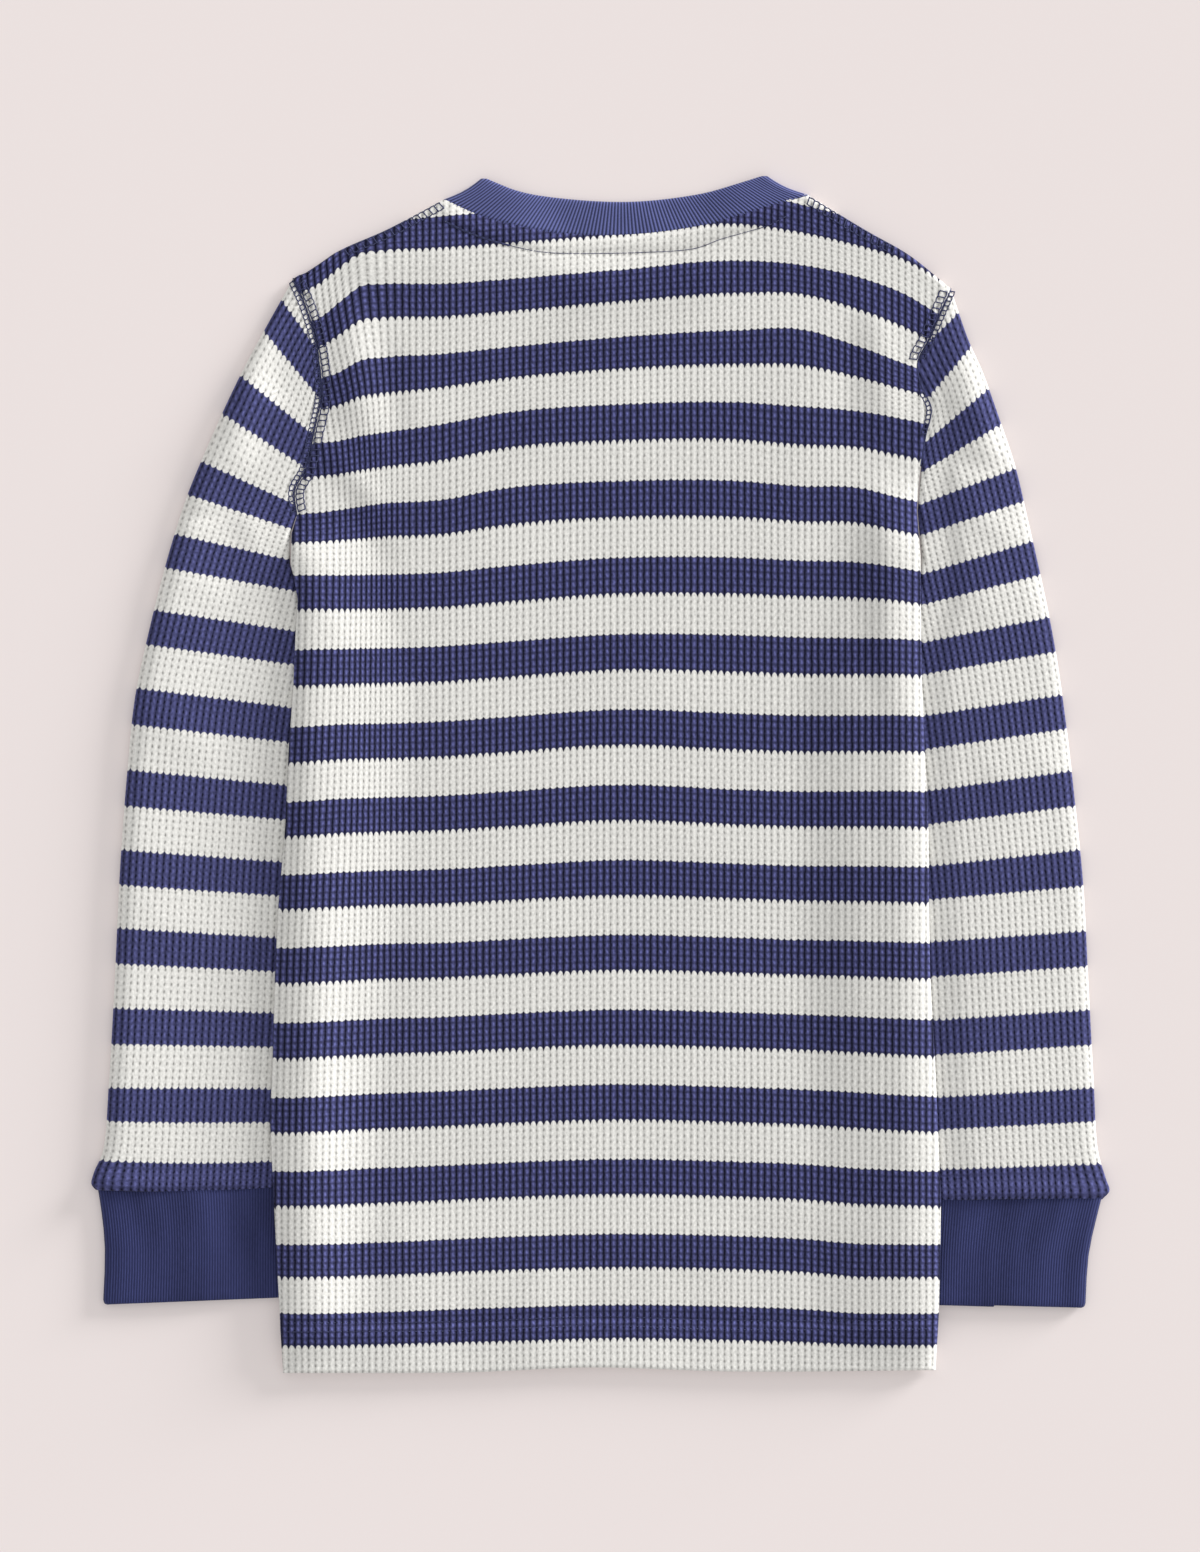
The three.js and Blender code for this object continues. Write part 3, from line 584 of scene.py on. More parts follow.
def body_grid(top_line, stride, inside):
    """Plan positions of a panel's points"""
    pitch = WALE / 2 * stride
    columns = np.arange(-51 * WALE, 54 * WALE, pitch)
    rows = np.arange(-11, 176, 0.5 * stride)
    inset = OUTER_RADIUS - INNER_RADIUS if inside else EDGE_INSET
    edges = np.array([]) if inside else ARC_INSETS
    arcs = len(edges)
    x_line = np.concatenate([np.full(arcs, -FAR), columns, np.full(arcs, FAR)])
    x = np.tile(x_line, (len(rows), 1))
    row = np.tile(rows[:, None], (1, x.shape[1]))
    insets = np.full(x.shape[1], inset)
    insets[:arcs] = edges
    insets[len(insets) - arcs:] = edges[::-1]
    y = body_y(np.clip(x, -150, 160), row)
    rim_insets = np.array([0, 0.3, 0.75, 1.3]) if not inside else np.array([0.12, 0.6, 1.3])
    y = np.vstack([np.tile(rim_insets[:, None] - FAR, (1, y.shape[1])), y])
    top_insets = ARC_INSETS[::-1] if not inside else np.array([1.7])
    y = np.vstack([y, np.tile(FAR - top_insets[:, None], (1, y.shape[1]))])
    x = np.vstack([x[:1]] * len(rim_insets) + [x] + [x[:1]] * len(top_insets))
    low_inset = np.full(len(y), rim_insets[-1])
    low_inset[: len(rim_insets)] = rim_insets
    high_inset = np.full(len(y), top_insets[0] + (0.4 if not inside else 0))
    high_inset[len(y) - len(top_insets):] = top_insets
    x_now = x
    for _ in range(5):
        left = lookup(left_line, y, 1) + insets
        right = lookup(right_line, y, 1) - insets
        x_now = np.clip(x - lean(x_now, y), left, right)
        low = lookup(hem_line, x_now, 0) + low_inset[:, None]
        high = lookup(top_line, x_now, 0) - high_inset[:, None]
        middle = body_y(x_now[len(rim_insets): -len(top_insets)], row)
        y_free = np.vstack([y[: len(rim_insets)], middle, y[-len(top_insets):]])
        y = np.clip(y_free, low, high)
    return x_now, y


def panel(name, top_line, layer):
    outer_x, outer_y = body_grid(top_line, 1, False)
    inner_x, inner_y = body_grid(top_line, 6, True)
    parts = []
    for x, y, inside in ((outer_x, outer_y, False), (inner_x, inner_y, True)):
        wale, row = (x + lean(x, y)) / WALE, body_row(x, y)
        z = body_surface(x, y, wale, row, top_line, layer, inside)
        place = np.stack([x, y, z], axis=-1).reshape(-1, 3)
        parts.append((place, np.stack([wale, row], axis=-1).reshape(-1, 2)))
    points = np.vstack([p for p, _ in parts])
    cloth = np.vstack([c for _, c in parts])
    start = len(parts[0][0])
    faces = [grid_faces(*outer_x.shape), grid_faces(*inner_x.shape, start)]
    rims = zip(border(*outer_x.shape), border(*inner_x.shape, start))
    faces += [zip_chains(points, outer, inner) for outer, inner in rims]
    piece = make_piece(name, points, np.vstack(faces), cloth)
    face_outwards(piece)
    return piece


back = panel("back_cloth", back_top, 1)
front = panel("front_cloth", front_top, -1)

# %% [markdown]
# ## The sleeves
# A sleeve is one piece of cloth, folded along its outer edge and seamed under the arm, where
# it lies under the body. Its wales run along the outer fold and its stripes run from the
# armhole or the body's side to the fold. The table says where each navy stripe starts.

# %% Sleeve rows
LEFT_STRIPES = np.array([  # stripe, its height at the outer fold and at the body
    (-0.43, -182, -180.4), (0, -168.9, -168.9), (1, -137.1, -137.5), (2, -101.9, -104.5),
    (3, -66.7, -71.9), (4, -32.3, -38.9), (5, 2.9, -5.5), (6, 38.9, 28.4), (7, 73.3, 62.7),
    (8, 106.7, 95.3), (9, 138.8, 119.9), (10, 176.7, 150.7), (11, 210.1, 188.5),
    (11.35, 219.3, 219.3),
])
RIGHT_STRIPES = np.array([
    (-0.43, -186.3, -187.6), (0, -170.5, -173.6), (1, -137.1, -142.3), (2, -102.7, -108.5),
    (3, -68, -74.1), (4, -32.3, -41.6), (5, 2.4, -9), (6, 35.9, 24), (7, 70.2, 56.5),
    (8, 103.6, 88.7), (9, 135.7, 119.5), (10, 170.9, 147.2), (11, 204.4, 190.7),
    (11.3, 214.9, 214.9),
])
# How far up a sleeve stands, and between which shares of its width it rises and falls
LEFT_PUFF = {"high": 2.6, "rise": (0.42, 0.96), "fall": (1.5, 2.0)}
RIGHT_PUFF = {"high": 1.9, "rise": (0.22, 0.4), "fall": (0.46, 1.04)}
LEFT_SAG, RIGHT_SAG = (1.5, 1.3), (-0.8, 0)  # how far the end and the row above it hang in the middle
BULGE_FROM = 0.8  # share of the width past which a wale follows the bulge at the end
BULGE_TOP = -150  # height above which there is no bulge
END_ROLL = {"reach": 9, "high": 1.3}
END_DROP = {"reach": 2.4, "deep": 1.2}  # how the upper cloth turns down at the end
SEAM_HOLD = 34  # how far from the armhole the seam holds the puff down
SLEEVE_WALES = 36  # more than the widest sleeve has
FINE_ROWS_TO = -3  # up to this row the points stand closer, to round the end


def sleeve_edges(side, y):
    """The x of a sleeve's fold at the body and of its outer fold"""
    line, tuck_rows = (left_line, LEFT_TUCK) if side < 0 else (right_line, RIGHT_TUCK)
    outer_line = left_outer if side < 0 else right_outer
    armhole = LEFT_ARMHOLE if side < 0 else RIGHT_ARMHOLE
    tucks = np.array(tuck_rows)
    tuck = np.where(y < armhole[0][1], np.interp(y, tucks[:, 0], tucks[:, 1]), -SEAM_GAP)
    return lookup(line, y, 1) - side * tuck, lookup(outer_line, y, 1)


def sleeve_surface(side, x, y, wale, row, layer):
    folds = LEFT_SLEEVE_FOLDS if side < 0 else RIGHT_SLEEVE_FOLDS
    armhole_y = (LEFT_ARMHOLE if side < 0 else RIGHT_ARMHOLE)[0][1]
    inner, outer = sleeve_edges(side, y)
    width = np.maximum(np.abs(outer - inner), 0.01)
    share = np.clip(side * (x - inner) / width, 0, 1)
    lean = np.where(y > 60, 0.86, 1)
    from_outer, from_inner = (1 - share) * width * lean, share * width
    outer_rise = arc_rise(from_outer, SIDE_REACH)
    sewn = smoothstep(y, armhole_y - 6, armhole_y + 6)
    inner_rise = arc_rise(from_inner, OUTER_RADIUS) * (1 - sewn) + sewn
    rise = outer_rise * inner_rise
    z = OUTER_RADIUS + layer * OUTER_RADIUS * rise
    away = smoothstep(np.minimum(from_outer, from_inner), *KNIT_FADE)
    knit = waffle(wale, row) * away
    if layer < 0:
        return z - (knit - RELIEF * RIDGE * away)
    form = LEFT_PUFF if side < 0 else RIGHT_PUFF
    near_seam = 1 - smoothstep(np.abs(x - inner), 0, SEAM_HOLD) * sewn
    puff = hump(share, form) * (1 - sewn + sewn * (1 - near_seam))
    end = lookup_end(side, x, share)
    from_end = np.maximum(y - end, 0)
    roll = np.sin(np.pi * np.clip(from_end / END_ROLL["reach"], 0, 1) ** 0.7)
    drop = 1 - arc_rise(from_end, END_DROP["reach"])
    seam = (1 - smoothstep(from_inner, 0, SEAM_DIP["reach"])) * sewn
    soft = fold_height(folds, x, y) * smoothstep(share, 0.15, 0.4)
    z = z + (puff + soft + END_ROLL["high"] * roll * smoothstep(share, 0.05, 0.2)) * rise
    return z + knit - SEAM_DIP["depth"] * seam - END_DROP["deep"] * drop * rise


def lookup_end(side, x, share):
    rows, sag = (LEFT_STRIPES, LEFT_SAG) if side < 0 else (RIGHT_STRIPES, RIGHT_SAG)
    y_outer, y_inner = rows[0, 1], rows[0, 2]
    x_outer = -221 if side < 0 else 220
    x_inner = -135 if side < 0 else 131
    straight = y_inner + (y_outer - y_inner) * (x - x_inner) / (x_outer - x_inner)
    return straight - sag[0] * 4 * share * (1 - share)


def sleeve(name, side):
    stripes = LEFT_STRIPES if side < 0 else RIGHT_STRIPES
    first, last = stripes[0, 0] * STRIPE_ROWS, stripes[-1, 0] * STRIPE_ROWS
    end_rows = np.arange(first, FINE_ROWS_TO - 0.01, 0.125)
    row_numbers = np.concatenate([end_rows, np.arange(FINE_ROWS_TO, last, 0.5), [last]])
    heights = hermite(row_numbers / STRIPE_ROWS, stripes[:, 0], stripes[:, 1:])
    y_outer, y_inner = heights[:, 0], heights[:, 1]
    x_inner = sleeve_edges(side, y_inner)[0]
    x_real = sleeve_edges(side, y_outer)[1]
    x_straight = sleeve_edges(side, np.maximum(y_outer, BULGE_TOP))[1]
    slope = (sleeve_edges(side, BULGE_TOP)[1] - sleeve_edges(side, BULGE_TOP + 40)[1]) / 40
    x_outer = x_straight + slope * np.maximum(BULGE_TOP - y_outer, 0)
    width = np.maximum(np.hypot(x_outer - x_inner, y_outer - y_inner), 0.02)
    steps = np.arange(0, SLEEVE_WALES * WALE, WALE / 2)
    fold_steps = ARC_INSETS[:0:-1]
    distance = np.concatenate([[0], ARC_INSETS[1:], np.maximum(steps[2:], EDGE_INSET)])
    near = width[:, None] - np.concatenate([fold_steps, [0]])[None, :]
    along_upper = np.minimum(distance[None, :], np.maximum(width[:, None] - EDGE_INSET, 0))
    along_upper = np.hstack([along_upper, np.maximum(near, along_upper[:, -1:])])
    share = np.clip(1 - along_upper / width[:, None], 0, 1)
    x = x_inner[:, None] + (x_outer - x_inner)[:, None] * share
    bulge = side * (x_real - x_outer)
    widest = np.maximum.accumulate(bulge[::-1])[::-1]  # below its widest row a wale runs straight
    x += side * widest[:, None] * smoothstep(share, BULGE_FROM, 1)
    from_fold = (1 - share) * width[:, None]
    x = side * np.minimum(side * x, side * x_real[:, None] - 0.3 * from_fold)
    y = y_inner[:, None] + (y_outer - y_inner)[:, None] * share
    end_sag, row_sag = LEFT_SAG if side < 0 else RIGHT_SAG
    sag = np.interp(row_numbers, (first, 0, STRIPE_ROWS), (end_sag, row_sag, 0))
    y -= sag[:, None] * 4 * share * (1 - share)
    wale = along_upper / WALE
    row = np.tile(row_numbers[:, None], (1, x.shape[1]))
    upper = sleeve_surface(side, x, y, wale, row, 1)
    lower = sleeve_surface(side, x, y, wale, row, -1)
    around = np.concatenate([np.arange(x.shape[1])[::-1], np.arange(1, x.shape[1])])
    split = x.shape[1]
    z = np.hstack([lower[:, ::-1], upper[:, 1:]])
    points = np.stack([x[:, around], y[:, around], z], axis=-1).reshape(-1, 3)
    wales = np.hstack([-wale[:, ::-1], wale[:, 1:]])
    cloth = np.stack([wales, row[:, around]], axis=-1).reshape(-1, 2)
    piece = make_piece(name, points, grid_faces(len(row), 2 * split - 1), cloth)
    face_outwards(piece)
    thicken(piece, WALL - 0.3)
    return piece


left_sleeve = sleeve("left_sleeve_cloth", -1)
right_sleeve = sleeve("right_sleeve_cloth", 1)

# %% [markdown]
# ## Cuffs and neck band
# Both are doubled rings of fine rib, pressed flat. A rib is a straight ridge, so the grid is
# fine across the ribs and coarse along them.

# %% Ribbed rings
RIB_HEIGHT = 0.14
CUFF_RIB, NECK_RIB = 1.25, 1.7  # from one rib to the next
LEFT_CUFF = [(-137.6, -179, -222.4, -176), (-138, -192, -219.9, -191),
             (-138.6, -209, -218.3, -209), (-138.4, -229.4, -219.1, -232.6)]
RIGHT_CUFF = [(134, -180, 222.3, -180), (133.6, -194, 218.4, -195),
              (133.2, -211, 214.9, -212), (133, -231.8, 213.6, -234)]
CUFF_PUFF = {"high": 0.6, "rise": (0.3, 0.5), "fall": (0.7, 1.0)}


def ring_steps(width, rib):
    """Shares across a flat ring, two for each rib, with close steps round its folds"""
    inner = np.arange(EDGE_INSET, width - EDGE_INSET, rib / 2)
    arc = ARC_INSETS
    return np.concatenate([arc, inner, width - arc[::-1]]) / width


def rib_ring(name, upper, lower, width, rib, levels, standing):
    """A flattened ring from two functions of the share across and the share along"""
    across = ring_steps(width, rib)
    rows = []
    for level, edge in levels:
        ring = []
        for place, layer in ((upper, 1), (lower, -1)):
            x, y = place(across, level)
            rise = arc_rise(np.minimum(across, 1 - across) * width, OUTER_RADIUS)
            ribs = RIB_HEIGHT * np.cos(2 * np.pi * across * width / rib)
            radius = OUTER_RADIUS * (1 - 0.62 * (1 - edge))
            z = OUTER_RADIUS + layer * (radius + (ribs - RIB_HEIGHT) * edge) * rise
            if layer > 0:
                z = z + standing(across, x, y) * rise
            part = np.stack([x, y, z, across * width / rib, np.full_like(x, level * 10)], axis=-1)
            ring.append(part if layer > 0 else part[-2:0:-1])
        rows.append(np.vstack(ring + [ring[0][:1]]))
    grid = np.array(rows)
    flat = grid.reshape(-1, 5)
    piece = make_piece(name, flat[:, :3], grid_faces(*grid.shape[:2]), flat[:, 3:])
    face_outwards(piece)
    thicken(piece, 1.3)
    return piece


CUFF_LEVELS = [(0, 0.3), (0.06, 0.4), (0.12, 0.9), (0.2, 1), (0.35, 1), (0.5, 1), (0.65, 1),
               (0.8, 1), (0.94, 1), (0.97, 0.93), (0.988, 0.75), (0.995, 0.6), (1, 0.4)]
CUFF_CORNER = 1.6  # radius of the corners at a cuff's end
RIGHT_CUFF_SEAM = 173.1  # where the right cuff's own seam shows as a small step
SEAM_STEP = 0.6


def cuff(name, rows, seam_x=None):
    marks = np.linspace(0, 1, len(rows))
    table = np.array(rows)
    width, length = abs(rows[0][2] - rows[0][0]), rows[0][1] - rows[-1][1]

    def place(across, level):
        x1, y1, x2, y2 = hermite(np.array([level]), marks, table)[0]
        x, y = x1 + (x2 - x1) * across, y1 + (y2 - y1) * across
        into_corner = max(CUFF_CORNER - (1 - level) * length, 0)
        pull = CUFF_CORNER - math.sqrt(CUFF_CORNER**2 - into_corner**2)
        from_fold = np.minimum(across, 1 - across) * width
        inward = np.where(across < 0.5, 1, -1) * np.sign(x2 - x1)
        x = x + inward * pull * np.exp(-((from_fold / 3) ** 2))
        if seam_x is not None:
            y = y - SEAM_STEP * (x < seam_x) * smoothstep(level, 0.9, 1)
        return x, y

    def standing(across, x, y):
        return hump(across, CUFF_PUFF)

    return rib_ring(name, place, place, width, CUFF_RIB, CUFF_LEVELS, standing)


left_cuff = cuff("left_cuff_rib", LEFT_CUFF)
right_cuff = cuff("right_cuff_rib", RIGHT_CUFF, RIGHT_CUFF_SEAM)

# %% The neck band
NECK_LENGTH = 165
NECK_LEVELS = [(-0.06, 0.9), (0.06, 1), (0.2, 1), (0.4, 1), (0.6, 1), (0.8, 1), (0.92, 0.93),
               (0.97, 0.75), (1, 0.4)]
TIP_CUT, TIP_RADIUS = 0.05, 1.5  # each end of the band is a little rounded
END_BOW, BOW_REACH = 0.8, 8


def neck_arc(seam, edge):
    seam_line, edge_line = smooth_curve(seam), smooth_curve(edge)

    def place(across, level):
        x1, y1 = along(seam_line, across)
        x2, y2 = along(edge_line, across)
        from_tip = np.minimum(across, 1 - across) * NECK_LENGTH
        level = level * (1 - TIP_CUT * np.exp(-((from_tip / TIP_RADIUS) ** 2)))
        bow = END_BOW * np.sin(np.pi * np.clip(level, 0, 1)) * np.exp(-((from_tip / BOW_REACH) ** 2))
        inward = np.where(across < 0.5, bow, -bow)
        return x1 + (x2 - x1) * level + inward, y1 + (y2 - y1) * level - bow

    return place


neck_band = rib_ring(
    "neck_band_rib", neck_arc(BACK_NECK, BACK_NECK_EDGE), neck_arc(FRONT_NECK, FRONT_NECK_EDGE),
    NECK_LENGTH, NECK_RIB, NECK_LEVELS, lambda across, x, y: -neck_sag(x, y),
)

# %% [markdown]
# ## Seam stitches
# The armholes and shoulders are held by a ladder of navy thread that crosses the seam. Seen
# on the ivory stripes it is the sharpest detail of the top. Each seam is one mesh of thin
# round threads that lie on the cloth.

# %% Threads
THREAD = 0.26  # radius of a thread
SIDES = 6
LOOP, SHORT_LOOP = 2.6, 2.21  # from one rung to the next
BROAD, NARROW = 3.5, 2.1  # widths of the strands
LOOP_STEPS, RUNG_STEPS = 4, 5
SCALLOP, RUNG_SLANT = 0.35, 0.3
SEAM_CORE, SEAM_SUNK = 0.45, -0.35  # the thread that closes an armhole seam


def cloth_top(x, y):
    """The height of the upper cloth, on the back panel or on a sleeve"""
    x, y = np.atleast_1d(np.array(x, float)), np.atleast_1d(np.array(y, float))
    left, right = lookup(left_line, y, 1), lookup(right_line, y, 1)
    wale, row = np.full_like(x, 0.25), np.full_like(x, 0.25)
    body = body_surface(x, y, wale, row, back_top, 1, False)
    left_z = sleeve_surface(-1, x, y, wale, row, 1)
    right_z = sleeve_surface(1, x, y, wale, row, 1)
    return np.where(x < left, left_z, np.where(x > right, right_z, body))


def thread(points, radius=THREAD):
    """Rings of corners of a thin round thread along points"""
    points = np.array(points, float)
    ahead = np.gradient(points, axis=0)
    ahead /= np.maximum(np.linalg.norm(ahead, axis=1), 1e-9)[:, None]
    side = np.cross(ahead, (0, 0, 1))
    side /= np.maximum(np.linalg.norm(side, axis=1), 1e-9)[:, None]
    above = np.cross(side, ahead)
    corners = []
    for step in range(SIDES):
        angle = 2 * math.pi * step / SIDES
        corners.append(points + radius * (math.cos(angle) * side + math.sin(angle) * above))
    grid = np.stack(corners + [corners[0]], axis=1)
    return grid


def stitch_piece(name, threads):
    points, faces, count = [], [], 0
    for grid in threads:
        points.append(grid.reshape(-1, 3))
        faces.append(grid_faces(grid.shape[0], grid.shape[1], count))
        ring = np.arange(SIDES) + count
        last = ring + (grid.shape[0] - 1) * (SIDES + 1)
        for cap in (ring, last):
            faces.append(np.array([cap[[0, 1, 2, 3]], cap[[3, 4, 5, 0]]]))
        count += grid.shape[0] * grid.shape[1]
    points = np.vstack(points)
    piece = make_piece(name, points, np.vstack(faces), points[:, :2] / WALE)
    face_outwards(piece)
    return piece


def lay(x, y, lift):
    """A row of points on the upper cloth"""
    return np.stack([x, y, cloth_top(x, y) + lift], axis=-1)


def strand(line, width, shift, pitch, start=0.0, end=1.0):
    """A strand of rounded loops beside a seam: two scalloped rails and the rungs between them"""
    length = np.linalg.norm(np.diff(line, axis=0), axis=1).sum()
    loops = max(int(length * (end - start) / pitch), 2)
    shares = np.linspace(start, end, loops * LOOP_STEPS + 1)
    x, y = along(line, shares)
    dx, dy = np.gradient(x), np.gradient(y)
    size = np.hypot(dx, dy)
    nx, ny = dy / size, -dx / size
    scallop = SCALLOP * np.abs(np.sin(np.pi * np.arange(len(x)) / LOOP_STEPS))
    threads = []
    for side in (-1, 1):
        offset = shift + side * (width / 2 - SCALLOP + scallop)
        threads.append(thread(lay(x + nx * offset, y + ny * offset, THREAD * 0.7)))
    spread = np.linspace(-0.5, 0.5, RUNG_STEPS) * width
    slant = np.linspace(-0.5, 0.5, RUNG_STEPS) * RUNG_SLANT * pitch
    for i in range(0, len(x), LOOP_STEPS):
        rung_x = x[i] + nx[i] * (spread + shift) + dx[i] / size[i] * slant
        rung_y = y[i] + ny[i] * (spread + shift) + dy[i] / size[i] * slant
        threads.append(thread(lay(rung_x, rung_y, THREAD * 1.1)))
    return threads


STRANDS = [  # seam, width, place beside the seam, length of a loop, start and end on the seam
    (left_armhole, BROAD, 2.4, LOOP, 0.02, 0.97),
    (left_armhole, NARROW, -1.5, SHORT_LOOP, 0.02, 0.99),
    (right_armhole, BROAD, -2.3, LOOP, 0.58, 0.97),
    (right_armhole, NARROW, 1.4, SHORT_LOOP, 0.6, 0.99),
    (right_armhole, NARROW, -1.0, SHORT_LOOP, 0.17, 0.41),
    (left_shoulder, BROAD, 2.1, LOOP, 0.35, 0.97),
    (right_shoulder, BROAD, 2.1, LOOP, 0.03, 0.6),
]
seam_threads = []
for row in STRANDS:
    seam_threads += strand(*row)
for line in (left_armhole, right_armhole):
    seam_x, seam_y = along(line, np.linspace(0, 1, 60))
    seam_threads.append(thread(lay(seam_x, seam_y, SEAM_SUNK), SEAM_CORE))
seams = stitch_piece("seam_stitches", seam_threads)
print("the seams hold", len(seam_threads), "threads")

# %% [markdown]
# ## Needle lines
# The hem has two straight needle lines, and the facing inside the back neck shows as one
# curved line. They are rows of short stitches sunk a little into the knit.

# %% Hem and facing stitches
def needle_line(x, y, stitch, gap, radius, sunk):
    """Short stitches along a line of points, their ends sunk into the knit"""
    line = np.stack([x, y], axis=1)
    total = np.linalg.norm(np.diff(line, axis=0), axis=1).sum()
    threads = []
    at = 0.0
    while at + stitch < total:
        px, py = along(line, np.linspace(at, at + stitch, 5) / total)
        hump = np.sin(np.linspace(0, np.pi, 5)) * 0.3 - sunk
        threads.append(thread(lay(px, py, hump), radius))
        at += stitch + gap
    return threads


hem_x = np.linspace(-138.5, 146.5, 260)
hem_threads = []
for needle in HEM_NEEDLES:
    hem_threads += needle_line(hem_x, lookup(hem_line, hem_x, 0) + needle, 2.3, 0.5, 0.22, 0.2)
hem_stitches = stitch_piece("hem_stitches", hem_threads)
facing_x, facing_y = along(facing_line, np.linspace(0.03, 0.97, 200))
facing_threads_and_shadow = needle_line(facing_x, facing_y, 3.4, 0.05, 0.14, -0.25)
# At the left end of the facing, a thick dark thread lies in the crease as its painted shadow line
crease_shadow_x, crease_shadow_y = along(facing_line, np.linspace(0.03, 0.215, 40))
facing_threads_and_shadow.append(thread(lay(crease_shadow_x, crease_shadow_y, 0.35), 0.5))  # a thick dark thread along the facing's turned-up edge, as the painted shadow line of its crease
facing_stitches_and_shadow = stitch_piece("facing_stitches_and_shadow", facing_threads_and_shadow)

# %% [markdown]
# ## Finishes
# All the cloth is cotton: matt, with a soft bloom where it turns away. What the knits share
# is a yarn that is never quite even in colour, so that is a node group of its own, and so is
# the waffle pattern. Colours are worked out from the row and wale numbers kept in each mesh.

# %% A small helper for nodes
class Nodes:
    """Adds nodes to a tree and links their inputs"""

    def __init__(self, tree):
        self.tree = tree

    def add(self, kind, inputs=(), **settings):
        node = self.tree.nodes.new(kind)
        for name, value in settings.items():
            setattr(node, name, value)
        for key, value in dict(inputs).items():
            self.feed(node.inputs[key], value)
        return node

    def feed(self, socket, value):
        if isinstance(value, bpy.types.NodeSocket):
            self.tree.links.new(value, socket)
        else:
            socket.default_value = value

    def sum(self, operation, *values, clamp=False):
        inputs = {i: v for i, v in enumerate(values)}
        return self.add("ShaderNodeMath", inputs, operation=operation, use_clamp=clamp).outputs[0]

    def scale(self, colour, factor):
        inputs = {0: colour, "Scale": factor}
        return self.add("ShaderNodeVectorMath", inputs, operation="SCALE").outputs[0]

    def blend(self, factor, first, second, mode="MIX"):
        node = self.add("ShaderNodeMix", data_type="RGBA", blend_type=mode)
        self.feed(node.inputs[0], factor)
        self.feed(node.inputs[6], first)
        self.feed(node.inputs[7], second)
        return node.outputs[2]


def new_group(name, inputs, outputs):
    tree = bpy.data.node_groups.new(name, "ShaderNodeTree")
    for label, kind, value in inputs:
        socket = tree.interface.new_socket(name=label, in_out="INPUT", socket_type=kind)
        if value is not None:
            socket.default_value = value
    for label, kind in outputs:
        tree.interface.new_socket(name=label, in_out="OUTPUT", socket_type=kind)
    return tree, Nodes(tree), tree.nodes.new("NodeGroupInput"), tree.nodes.new("NodeGroupOutput")


FLOAT, COLOR, VECTOR = "NodeSocketFloat", "NodeSocketColor", "NodeSocketVector"

# %% [markdown]
# ### Waffle pattern
# The group gives the navy mask, and masks for the gap between two wales, for the pit in each
# row of it, and for the waist of a wale between two rows; the material darkens the colour by
# these three as painted shade. A last mask is the painted highlight on the back of each loop.
# Where ivory is knitted above navy, each wale starts with a blunt tip, so a navy stripe reaches
# down in a notch at every gap.

# %% Waffle group
NAVY_TO = 7.95  # row of a repeat where the navy ends, after three rows are taken off
EDGE_SHARPNESS = 7.0
STROKE_SLANT = 0.3  # how far the painted highlight on a loop's back leans over one row, in wales

waffle_tree, w, w_in, w_out = new_group(
    "waffle_pattern",
    [("Cloth", VECTOR, None), ("Tip", FLOAT, 2.8), ("Notch", FLOAT, 0.6), ("Bump", FLOAT, 0.3)],
    [("Navy", FLOAT), ("Gap", FLOAT), ("Pit", FLOAT), ("Waist", FLOAT), ("Painted highlight", FLOAT)],
)
unsteady = w.add("ShaderNodeTexNoise", {"Vector": w_in.outputs["Cloth"], "Scale": 0.9, "Detail": 1.0})
wander = w.sum("MULTIPLY_ADD", unsteady.outputs[0], 0.22, -0.11)
split = w.add("ShaderNodeSeparateXYZ", {0: w_in.outputs["Cloth"]})
wale, row = w.sum("ADD", split.outputs[0], wander), w.sum("ADD", split.outputs[1], wander)
off_centre = w.sum("ABSOLUTE", w.sum("SUBTRACT", w.sum("FRACT", w.sum("ADD", wale, 0.5)), 0.5))
to_gap = w.sum("MULTIPLY", off_centre, 2.0)
repeat = w.sum("FLOORED_MODULO", w.sum("SUBTRACT", row, 3.0), float(STRIPE_ROWS))
notch = w.sum("MULTIPLY", w.sum("POWER", to_gap, 2.2), w_in.outputs["Notch"])
low_edge = w.sum("SUBTRACT", w_in.outputs["Tip"], notch)
bump = w.sum("MULTIPLY", w.sum("POWER", to_gap, 2.4), w_in.outputs["Bump"])
high_edge = w.sum("ADD", bump, NAVY_TO)
above_low = w.sum("MULTIPLY", w.sum("SUBTRACT", repeat, low_edge), EDGE_SHARPNESS, clamp=True)
below_high = w.sum("MULTIPLY", w.sum("SUBTRACT", high_edge, repeat), EDGE_SHARPNESS, clamp=True)
w.feed(w_out.inputs["Navy"], w.sum("MULTIPLY", above_low, below_high))
in_row = w.sum("MULTIPLY_ADD", w.sum("COSINE", w.sum("MULTIPLY", row, 2 * math.pi)), -0.5, 0.5)
w.feed(w_out.inputs["Gap"], w.sum("POWER", to_gap, 1.35))
pit = w.sum("MULTIPLY", w.sum("POWER", to_gap, 3.0), w.sum("POWER", in_row, 1.5))
w.feed(w_out.inputs["Pit"], pit)
w.feed(w_out.inputs["Waist"], w.sum("POWER", w.sum("SUBTRACT", 1.0, in_row), 2.0))
# The stroke is a painted highlight on the back of each loop, leaning with its row
slant = w.sum("MULTIPLY_ADD", w.sum("FRACT", row), STROKE_SLANT, 0.5 - STROKE_SLANT / 2)
from_stroke = w.sum("ABSOLUTE", w.sum("SUBTRACT", w.sum("FRACT", w.sum("ADD", wale, slant)), 0.5))
painted_highlight = w.sum("SUBTRACT", 1.0, w.sum("MULTIPLY", from_stroke, 4.0), clamp=True)
w.feed(w_out.inputs["Painted highlight"], w.sum("MULTIPLY", painted_highlight, in_row))
